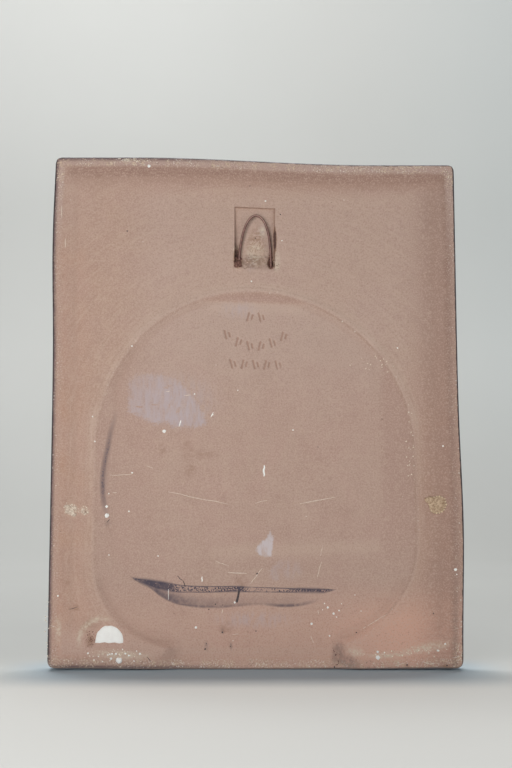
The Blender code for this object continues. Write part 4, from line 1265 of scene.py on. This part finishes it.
class Shader:
    """A Principled material whose nodes are added by short calls."""

    def __init__(self, name, roughness, metallic=0.0, specular=0.5):
        self.material = bpy.data.materials.new(name)
        self.material.use_nodes = True
        self.nodes = self.material.node_tree.nodes
        self.links = self.material.node_tree.links
        self.surface = self.nodes["Principled BSDF"]
        self.surface.inputs["Roughness"].default_value = roughness
        self.surface.inputs["Metallic"].default_value = metallic
        self.surface.inputs["Specular IOR Level"].default_value = specular
        self.place = self.nodes.new("ShaderNodeTexCoord").outputs["Object"]
        self.signals = {}

    def feed(self, socket, value):
        """Links an output to the socket, or sets a plain value on it."""
        if isinstance(value, bpy.types.NodeSocket):
            self.links.new(value, socket)
        elif isinstance(value, tuple) and socket.type == "RGBA":
            socket.default_value = (*value, 1.0)
        else:
            socket.default_value = value

    def math(self, operation, a, b=0.0):
        """One sum on numbers."""
        node = self.nodes.new("ShaderNodeMath")
        node.operation = operation
        self.feed(node.inputs[0], a)
        self.feed(node.inputs[1], b)
        return node.outputs[0]

    def times(self, *values):
        """All values multiplied."""
        total = values[0]
        for value in values[1:]:
            total = self.math("MULTIPLY", total, value)
        return total

    def most(self, *values):
        """The largest of the values."""
        total = values[0]
        for value in values[1:]:
            total = self.math("MAXIMUM", total, value)
        return total

    def soft(self, value, low, high, start=0.0, end=1.0):
        """Smooth step of value from low to high, going from start to end."""
        node = self.nodes.new("ShaderNodeMapRange")
        node.interpolation_type = "SMOOTHSTEP"
        self.feed(node.inputs["Value"], value)
        self.feed(node.inputs["From Min"], low)
        self.feed(node.inputs["From Max"], high)
        self.feed(node.inputs["To Min"], start)
        self.feed(node.inputs["To Max"], end)
        return node.outputs["Result"]

    def linear(self, value, factor, offset):
        """The value times factor plus offset."""
        return self.math("ADD", self.math("MULTIPLY", value, factor), offset)

    def away(self, value, centre):
        """How far the value is from centre."""
        return self.math("ABSOLUTE", self.math("SUBTRACT", value, centre))

    def axes(self, vector=None):
        """The three numbers of a vector, of the object's own place if none is given."""
        split = self.nodes.new("ShaderNodeSeparateXYZ")
        self.links.new(vector or self.place, split.inputs[0])
        return split.outputs

    def texture(self, kind, scale, turn=0.0, vector=None):
        """A pattern node that reads the object's place, scaled and turned about Y."""
        mapping = self.nodes.new("ShaderNodeMapping")
        self.links.new(vector or self.place, mapping.inputs["Vector"])
        mapping.inputs["Rotation"].default_value = (0.0, math.radians(turn), 0.0)
        mapping.inputs["Scale"].default_value = scale
        node = self.nodes.new(kind)
        self.links.new(mapping.outputs["Vector"], node.inputs["Vector"])
        node.inputs["Scale"].default_value = 1.0
        return node

    def noise(self, size, detail=2.0, stretch=EVEN, turn=0.0, swirl=0.0, vector=None):
        """Noise whose lumps are about size metres across; stretch lengthens them along an axis."""
        scale = tuple(1 / (size * s) for s in stretch)
        node = self.texture("ShaderNodeTexNoise", scale, turn, vector)
        node.inputs["Detail"].default_value = detail
        node.inputs["Roughness"].default_value = 0.6
        node.inputs["Distortion"].default_value = swirl
        return node.outputs["Fac"]

    def spots(self, size, radius, chance):
        """Round spots on a scattered grid of the given size; chance is the share of cells that have one."""
        node = self.texture("ShaderNodeTexVoronoi", (1 / size, 0.0, 1 / size))
        near = self.soft(node.outputs["Distance"], 0.6 * radius / size, 1.2 * radius / size, 1.0, 0.0)
        return self.times(near, self.math("LESS_THAN", self.axes(node.outputs["Color"])[0], chance))

    def signal(self, name):
        """A measure or pattern by name; a listed pattern is made when it is first asked for."""
        if name not in self.signals:
            self.signals[name] = self.spots(*SPOTS[name]) if name in SPOTS else self.noise(*PATTERNS[name])
        return self.signals[name]

    def step(self, name, *reach):
        """The named signal, or its soft step when a reach is given."""
        return self.soft(self.signal(name), *reach) if reach else self.signal(name)

    def tint(self, colour, tints):
        """The colour after the tints of a table are laid on it in turn."""
        for shade, strength, *steps in tints:
            share = self.times(*[self.step(*step) for step in steps], strength)
            colour = self.mix(share, colour, shade)
        return colour

    def mix(self, share, a, b):
        """Colour a going to colour b by share."""
        node = self.nodes.new("ShaderNodeMix")
        node.data_type = "RGBA"
        self.feed(node.inputs[0], share)
        self.feed(node.inputs[6], a)
        self.feed(node.inputs[7], b)
        return node.outputs[2]

    def field(self, name):
        """The three numbers of one of the mesh's vector fields."""
        node = self.nodes.new("ShaderNodeAttribute")
        node.attribute_name = name
        return self.axes(node.outputs["Vector"])

    def bump(self, height, distance, strength):
        """Raises the surface's shading by height times distance."""
        node = self.nodes.new("ShaderNodeBump")
        node.inputs["Strength"].default_value = strength
        node.inputs["Distance"].default_value = distance
        self.links.new(height, node.inputs["Height"])
        return node.outputs["Normal"]

    def finish(self, colour, roughness=None, normal=None):
        """Joins the finished colour, roughness and bump to the surface."""
        self.feed(self.surface.inputs["Base Color"], colour)
        if roughness is not None:
            self.feed(self.surface.inputs["Roughness"], roughness)
        if normal is not None:
            self.links.new(normal, self.surface.inputs["Normal"])
        return self.material


def clay_tone(m):
    """Colour of the bare clay: cloudy, brushed round the arch, with dust on the rim, painted shade in the
    coves and on the hollow's slopes and edge, and painted light on its ridge, the floor's lines, the upper
    panel and the foot.
    """
    rim, edge, across, height = (m.signal(name) for name in ("rim", "edge", "across", "height"))
    brushed = m.nodes.new("ShaderNodeCombineXYZ")
    m.feed(brushed.inputs[0], m.times(edge, MM))
    m.feed(brushed.inputs[2], height)
    above = m.most(m.step("height", -0.242, -0.225), m.step("rim", 9, 6))
    on_slope = m.times(m.step("across", 0.045, 0.075), m.step("edge", 0, 3))
    ends = m.most(m.step("height", TOP_Z - 0.030, TOP_Z - 0.010), m.step("height", -0.236, -0.246))
    speckled = m.times(m.signal("rim_specks"), m.step("rim", 7, 2))
    scattered = m.times(m.signal("loose_specks"), m.step("rim", 2, 7))
    m.signals.update({
        "strokes": m.noise(0.0016, 2.0, stretch=(1, 1, 14), vector=brushed.outputs[0]),
        "outside": m.times(m.step("edge", 0.5, -2.5), above),
        "warm": m.most(m.step("across", 0.086, 0.112), m.step("across", -0.082, -0.108, 0, 0.7)),
        "sides": m.most(on_slope, m.step("across", -0.090, -0.103)),
        "pale_side": m.math("ADD", m.step("across", 0.05, 0.01, 0.20, 0.34),
                            m.step("across", -0.02, -0.10, 0, 0.52)),
        "from_arch": m.away(edge, 1.5),
        "land": m.math("ADD", rim, m.times(m.signal("patch"), 2.0)),
        "lip": m.times(m.step("rim", 6.4, 4.2), m.most(ends, 0.30)),
        "hem": m.soft(m.away(edge, 0.0), 1.6, 0.4),
    })
    hem = m.times(m.signal("hem_specks"), m.signal("hem"), m.step(*UPPER_HOLLOW),
                  m.step("across", 0.02, -0.02, 0.3, 1))
    m.signals["specks"] = m.most(speckled, scattered, hem)
    return m.tint(m.mix(m.signal("outside"), CLAY_INNER, CLAY_OUTER), CLAY_TINTS)


def bar_ink(m):
    """Strength of the glaze in the level bar: solid or flecked inside, with a line along each side."""
    gap, thick, fill = m.field("bar")
    solid = m.soft(fill, 0.45, 0.85)
    low_side = m.math("SUBTRACT", thick, gap)
    inside = m.times(m.soft(gap, m.linear(solid, -1.0, -0.25), m.linear(solid, 0.5, 0.30)),
                     m.soft(low_side, m.linear(solid, -1.0, -0.20), m.linear(solid, 1.3, 0.40)))
    lines = m.most(m.soft(m.away(gap, 0.25), 0.10, 0.55, 1.0, 0.0),
                   m.soft(m.away(low_side, 0.30), 0.10, 0.60, 1.0, 0.0))
    shown = m.math("SUBTRACT", 1.0, fill)
    flecks = m.soft(m.math("SUBTRACT", m.signal("mottle"), m.linear(shown, 0.46, 0.26)), -0.04, 0.08)
    broken = m.soft(m.math("SUBTRACT", m.signal("coarse"), m.times(shown, 0.62)), -0.16, 0.10)
    lines = m.times(lines, broken, m.soft(fill, 0.20, 0.42, 0.60, 0.85))
    return m.times(inside, m.most(flecks, lines), m.step("coarse", 0.25, 0.60, 0.86, 1.0))


def bowl_ink(m):
    """Strength of the glaze at the bowed line: a dark hem and a thin wash up to the bar above it."""
    gap, dark, glow = m.field("bowl")
    below = m.soft(m.field("bar")[0], 0.0, 0.6)
    hem = m.times(m.soft(gap, -0.9, 0.3), m.soft(gap, 0.3, 2.7, 1.0, 0.0), dark)
    wash = m.times(m.soft(gap, -0.60, 0.60), m.soft(gap, 0.8, 9.5, 1.0, 0.0), glow, below)
    wash = m.times(wash, m.step("coarse", 0.20, 0.70, 0.55, 1.0), 0.84)
    return m.most(m.times(hem, m.step("coarse", 0.30, 0.55, 0.50, 0.85)), wash)


def arc_ink(m):
    """Strength of the glaze in the upright arc: a darker spine in a fading band."""
    gap, dark, width = m.field("arc")
    fade = m.soft(m.math("DIVIDE", gap, m.most(width, 0.01)), 0.05, 1.0, 1.0, 0.0)
    spine = m.soft(m.away(gap, 1.7), 0.2, 2.2, 1.0, 0.0)
    band = m.times(m.soft(gap, -0.50, 0.70), m.most(m.times(fade, 0.48), m.times(spine, 0.72)), dark)
    return m.times(band, m.step("mottle", 0.40, 0.66, 0.62, 1.2))


def lay_films(m, colour):
    """The clay with the lilac films and the pale haze on it, and the films' own share."""
    film_gap, haze, strength = m.field("film")
    ragged = m.math("ADD", film_gap, m.linear(m.signal("ragged"), 3.0, -1.5))
    film = m.times(m.soft(ragged, -0.6, 0.9), strength, m.step("streaky", 0.28, 0.68, 0.30, 1.0))
    film = m.math("MINIMUM", film, 1.0)
    haze = m.times(haze, m.step("streaky", 0.30, 0.66), 0.60)
    shade = m.mix(m.soft(strength, 1.0, 1.3), FILM_LILAC, FILM_WHITE)
    return m.mix(m.times(m.most(film, haze), 0.86), colour, shade), film


def glaze_tone(m, ridge):
    """Dark blue glaze that pools in the lows, breaks to brown on the ridges and thins at the edges."""
    front = m.mix(m.step("pooled", 0.30, 0.70), GLAZE_DARK, GLAZE_BLUE)
    thin = m.soft(m.math("ADD", ridge, m.times(m.signal("pooled"), 0.25)), 0.14, 0.42)
    front = m.mix(thin, front, GLAZE_BROWN)
    front = m.mix(m.times(m.signal("glaze_flecks"), 0.35), front, GLAZE_FLECK)
    # Below the foot's round the edge takes a lighter clay colour, partly bare clay and partly painted light
    # against the shade under the foot
    edging = m.mix(m.step("height", -0.250, -0.2545), EDGE_GLAZE, EDGE_BARE_LIT)
    return m.mix(m.times(m.step("rim", -2.5, 0.5), 0.80), front, edging)


def body_material():
    """Stoneware: bare clay behind, dark blue glaze on the front and edges, and the marks of use, with painted
    shade and light laid on the bare clay.
    """
    m = Shader("stoneware", roughness=0.85, specular=0.35)
    m.signals["across"], _, m.signals["height"] = m.axes()
    m.signals["rim"], m.signals["edge"], ridge = m.field("place")
    # The first field holds the painted shade of the coves and slopes and the painted highlight and shade
    # along the floor's lines; the marks and pocket fields carry some painted shade as well
    for field, names in (("painted_light", ("cove", "slope", "shelf")), ("marks", ("dirt_and_shade", "rust", "dust")),
                         ("pocket", ("debris", "mark_zone", "grime_and_shade"))):
        m.signals.update(zip(names, m.field(field)))
    colour, film = lay_films(m, clay_tone(m))
    m.signals["grimy_and_shaded"] = m.times(m.signal("grime_and_shade"), m.step("blotch", 0.25, 0.65, 0.55, 1.25))
    # Painted shade in the pressed strokes and wherever the surface lies below its surroundings
    pressed = m.times(m.soft(ridge, -0.02, -0.14), m.signal("mark_zone"), 1.7)
    m.signals["dent_shade"] = m.most(pressed, m.soft(ridge, -0.10, -0.40, 0.0, 0.35))
    m.signals["ink"] = m.most(bar_ink(m), bowl_ink(m), arc_ink(m))
    colour = m.tint(colour, MARK_TINTS)
    lip = m.math("ADD", m.signal("rim"), m.linear(m.signal("wavy"), 1.3, -0.65))
    glaze = m.soft(lip, 1.25, 0.75)
    colour = m.mix(glaze, colour, glaze_tone(m, ridge))
    clay_rough = m.step("grain", 0.2, 0.8, 0.78, 0.92)
    stained = m.math("SUBTRACT", clay_rough, m.times(m.most(m.signal("ink"), film), 0.22))
    roughness = m.soft(glaze, 0.0, 1.0, stained, m.step("pooled", 0.2, 0.8, 0.22, 0.36))
    grainy = m.math("ADD", m.signal("grain"), m.times(m.signal("lumps"), 1.2))
    height = m.times(grainy, m.soft(glaze, 0.0, 1.0, 1.0, 0.25))
    return m.finish(colour, roughness, m.bump(height, 0.00012, 0.8))


def wire_material():
    """Brown oxidised wire with a pale band on its side towards +Y, fullest at the crown: clay dust, and a
    painted highlight.
    """
    m = Shader("oxidised_wire", roughness=0.6, metallic=0.1)
    normal = m.nodes.new("ShaderNodeNewGeometry").outputs["Normal"]
    # The pale band is painted highlight as well as dust, on the side facing +Y
    facing = m.soft(m.axes(normal)[1], 0.70, 0.97)
    crown = m.soft(m.axes()[2], -0.010, -0.002)
    patchy = m.step("wire_dust", 0.38, 0.60)
    dust_and_highlight = m.times(facing, m.most(m.times(crown, 0.9), m.times(patchy, 0.60), 0.28))
    colour = m.mix(m.step("wire_tone", 0.35, 0.70), WIRE_DARK, WIRE_BROWN)
    colour = m.mix(dust_and_highlight, colour, WIRE_DUST_AND_HIGHLIGHT)
    roughness = m.soft(patchy, 0.0, 1.0, 0.42, 0.75)
    return m.finish(colour, roughness, m.bump(m.signal("wire_grain"), 0.00010, 0.7))


def residue_material(name, pale, deep, size, roughness, depth):
    """Two mottled tones with a fine bump, for the small residues."""
    m = Shader(name, roughness=roughness, specular=0.3)
    mottle = m.noise(size, 4.0, swirl=0.4)
    fine = m.noise(size / 4, 3.0)
    colour = m.mix(m.soft(mottle, 0.35, 0.68), pale, deep)
    colour = m.mix(m.times(m.soft(fine, 0.55, 0.75), 0.35), colour, deep)
    normal = m.bump(m.math("ADD", mottle, fine), depth, 0.8)
    return m.finish(colour, m.soft(fine, 0.2, 0.8, roughness - 0.08, roughness + 0.08), normal)


def stage_material():
    """Pale grey studio paper, a little bluer on the picture's right, with painted shade on the floor behind
    the plaque and low on the backdrop, and a painted bluish shadow on the floor round its foot.
    """
    m = Shader("studio_paper", roughness=0.9, specular=0.2)
    across, depth, height = m.axes()
    colour = m.mix(m.soft(across, -0.15, -0.60), PAPER, PAPER_BLUE)
    # Painted shade on the floor behind the plaque and on the backdrop low down
    lit = m.most(m.soft(depth, -0.07, 0.06), m.soft(height, -0.30, 0.15))
    colour = m.mix(lit, PAPER_SHADE, colour)
    # Painted shadow, darker and bluer, on the floor round the plaque's foot
    painted_shadow = m.times(m.soft(depth, -0.05, -0.01), m.soft(depth, 0.06, 0.01),
                   m.soft(m.away(across, 0.0), 0.15, 0.10))
    colour = m.mix(painted_shadow, colour, PAPER_PAINTED_SHADOW)
    return m.finish(m.mix(m.times(m.signal("fibre"), 0.08), colour, (1.0, 1.0, 1.0)))


def half_moon():
    """Outline of the torn scrap: a flat foot and a round head, in the order that faces it to +Y."""
    outline = []
    for k in range(SCRAP_STEPS + 1):
        turn = math.pi * k / SCRAP_STEPS
        wobble = 1 + 0.02 * jitter(k, 3, 9)
        outline.append((SCRAP_CENTRE[0] - SCRAP_HALF * math.cos(turn) * wobble,
                        SCRAP_CENTRE[1] - SCRAP_HIGH * math.sin(turn) ** 0.85 * wobble))
    places = [on_skin(u, v) for u, v in tuple(outline) + SCRAP_FOOT]
    return places[::-1]


def crust_specks():
    """Specks of crust on the right dab of glue: a ring round it, and some scattered over it."""
    (u, v), (wide, high), count = CRUST_RING
    specks = []
    for k in range(count):
        turn = 2 * math.pi * k / count
        reach = 0.94 + 0.12 * lattice(k, 1, CRUST_SEED)
        size = 0.35 + 0.35 * lattice(k, 2, CRUST_SEED)
        specks.append((u + wide * reach * math.cos(turn), v + high * reach * math.sin(turn), size))
    (u, v), (wide, high), count, size = CRUST_SPECKS
    for k in range(count):
        specks.append((u + wide * lattice(k, 3, CRUST_SEED), v + high * lattice(k, 4, CRUST_SEED), size))
    return specks


def make_residues():
    """The scrap, glue, plug, crumbs, drops, pits and scratches on the back."""
    looks = {name: residue_material(name, *look) for name, look in RESIDUE_LOOKS.items()}
    vertices, faces = [], []
    add_patch(vertices, faces, half_moon(), 0.35 * MM, 0.1 * MM, 0.10 * MM, 5)
    make_object("white_scrap", vertices, faces, looks["white_residue"])
    for name, blobs, look, lift in (("glue_right", GLUE_RIGHT, "old_glue", 0.9),
                                    ("glue_left", GLUE_LEFT, "pale_glue", 0.5)):
        vertices, faces = [], []
        for seed, (u, v, radius, stretch) in enumerate(blobs):
            outline = round_outline(u, v, radius * MM, seed + 40, 22, 0.10, stretch)
            add_patch(vertices, faces, outline, lift * MM, 0.1 * MM, 0.25 * MM, seed + 9)
        make_object(name, vertices, faces, looks[look])
    for name, drops, look, lift_share in (
            ("glue_crust", crust_specks(), "glue_crust", 1.1),
            ("white_drops", WHITE_DROPS, "white_residue", 0.35),
            ("dark_pits", DARK_PITS, "dark_specks", 0.12),
            ("wire_plug_and_hole_shade", PLUG_AND_HOLE_LUMPS, "clay_plug", 0.55),
            ("pocket_crumbs", crumb_places(*POCKET_CRUMBS), "clay_crumbs", 0.6),
            ("white_crumbs", crumb_places(*WHITE_CRUMBS), "chalky_crumbs", 0.6),
            ("rust_crumbs", crumb_places(*RUST_CRUMBS), "clay_plug", 0.6)):
        make_drops(name, drops, looks[look], lift_share)
    for name, scuffs, look, lift in (("pale_scuffs", PALE_SCUFFS, "pale_scratches", 0.03 * MM),
                                     ("white_dashes", WHITE_DASHES, "white_residue", 0.04 * MM),
                                     ("dark_scuffs", DARK_SCUFFS, "dark_specks", 0.03 * MM)):
        make_scuffs(name, scuffs, looks[look], lift)


def crumb_places(count, radii, heaps, seed):
    """Columns, rows and radii of crumbs scattered over heaps, thickest in their middles."""
    places = []
    for i in range(count):
        around = 2 * math.pi * lattice(i, 1, seed)
        out = lattice(i, 2, seed) ** 0.7
        centre, reach = heaps[i % len(heaps)]
        u = centre[0] + reach[0] * out * math.cos(around)
        v = centre[1] + reach[1] * out * math.sin(around)
        places.append((u, v, radii[0] + (radii[1] - radii[0]) * lattice(i, 3, seed)))
    return places


def make_stage():
    """Floor and backdrop in one seamless sweep, a hair below the plaque's foot."""
    low = CAD_BOX[0][2] - SWEEP_GAP
    profile = [(FLOOR_NEAR, low), (FLOOR_BEND, low)]
    for step in range(1, SWEEP_STEPS + 1):
        turn = math.pi / 2 * step / SWEEP_STEPS
        rise = SWEEP_RADIUS * (1 - math.cos(turn))
        profile.append((FLOOR_BEND - SWEEP_RADIUS * math.sin(turn), low + rise))
    profile.append((FLOOR_BEND - SWEEP_RADIUS, low + WALL_HEIGHT))
    vertices = [(x, y, z) for y, z in profile for x in (STAGE_HALF, -STAGE_HALF)]
    faces = [(a, a + 2, a + 3, a + 1) for a in range(0, len(vertices) - 2, 2)]
    mesh = bpy.data.meshes.new("studio_sweep")
    mesh.from_pydata(vertices, [], faces)
    mesh.shade_smooth()
    mesh.materials.append(stage_material())
    sweep = bpy.data.objects.new("studio_sweep", mesh)
    bpy.context.scene.collection.objects.link(sweep)


def add_light(name, place, target, size, power, colour):
    """A rectangular soft light at place, aimed at target."""
    light = bpy.data.lights.new(name, "AREA")
    light.shape = "RECTANGLE"
    light.size, light.size_y = size
    light.energy = power
    light.color = colour
    item = bpy.data.objects.new(name, light)
    item.location = place
    item.rotation_euler = (Vector(target) - Vector(place)).to_track_quat("-Z", "Y").to_euler()
    bpy.context.scene.collection.objects.link(item)


def make_lights():
    """Soft studio light: a faint sky and the listed lamps."""
    world = bpy.data.worlds.new("studio_air")
    world.use_nodes = True
    background = world.node_tree.nodes["Background"]
    background.inputs["Color"].default_value = (*WORLD_COLOUR, 1.0)
    background.inputs["Strength"].default_value = WORLD_STRENGTH
    bpy.context.scene.world = world
    for lamp in LIGHTS:
        add_light(*lamp)


def make_camera():
    """Camera behind the plaque, as in the photograph."""
    lens = bpy.data.cameras.new("camera")
    lens.lens = LENS_MM
    lens.sensor_fit = "VERTICAL"
    lens.sensor_height = SENSOR_MM
    camera = bpy.data.objects.new("camera", lens)
    camera.location = CAMERA_PLACE
    camera.rotation_euler = (math.pi / 2 + CAMERA_PITCH, 0.0, math.pi)
    bpy.context.scene.collection.objects.link(camera)
    bpy.context.scene.camera = camera


def main():
    """Dresses the plaque and sets up the studio."""
    make_body(body_material())
    make_wire(wire_material())
    make_residues()
    make_stage()
    make_lights()
    make_camera()
    bpy.context.scene.view_settings.view_transform = "Standard"


main()
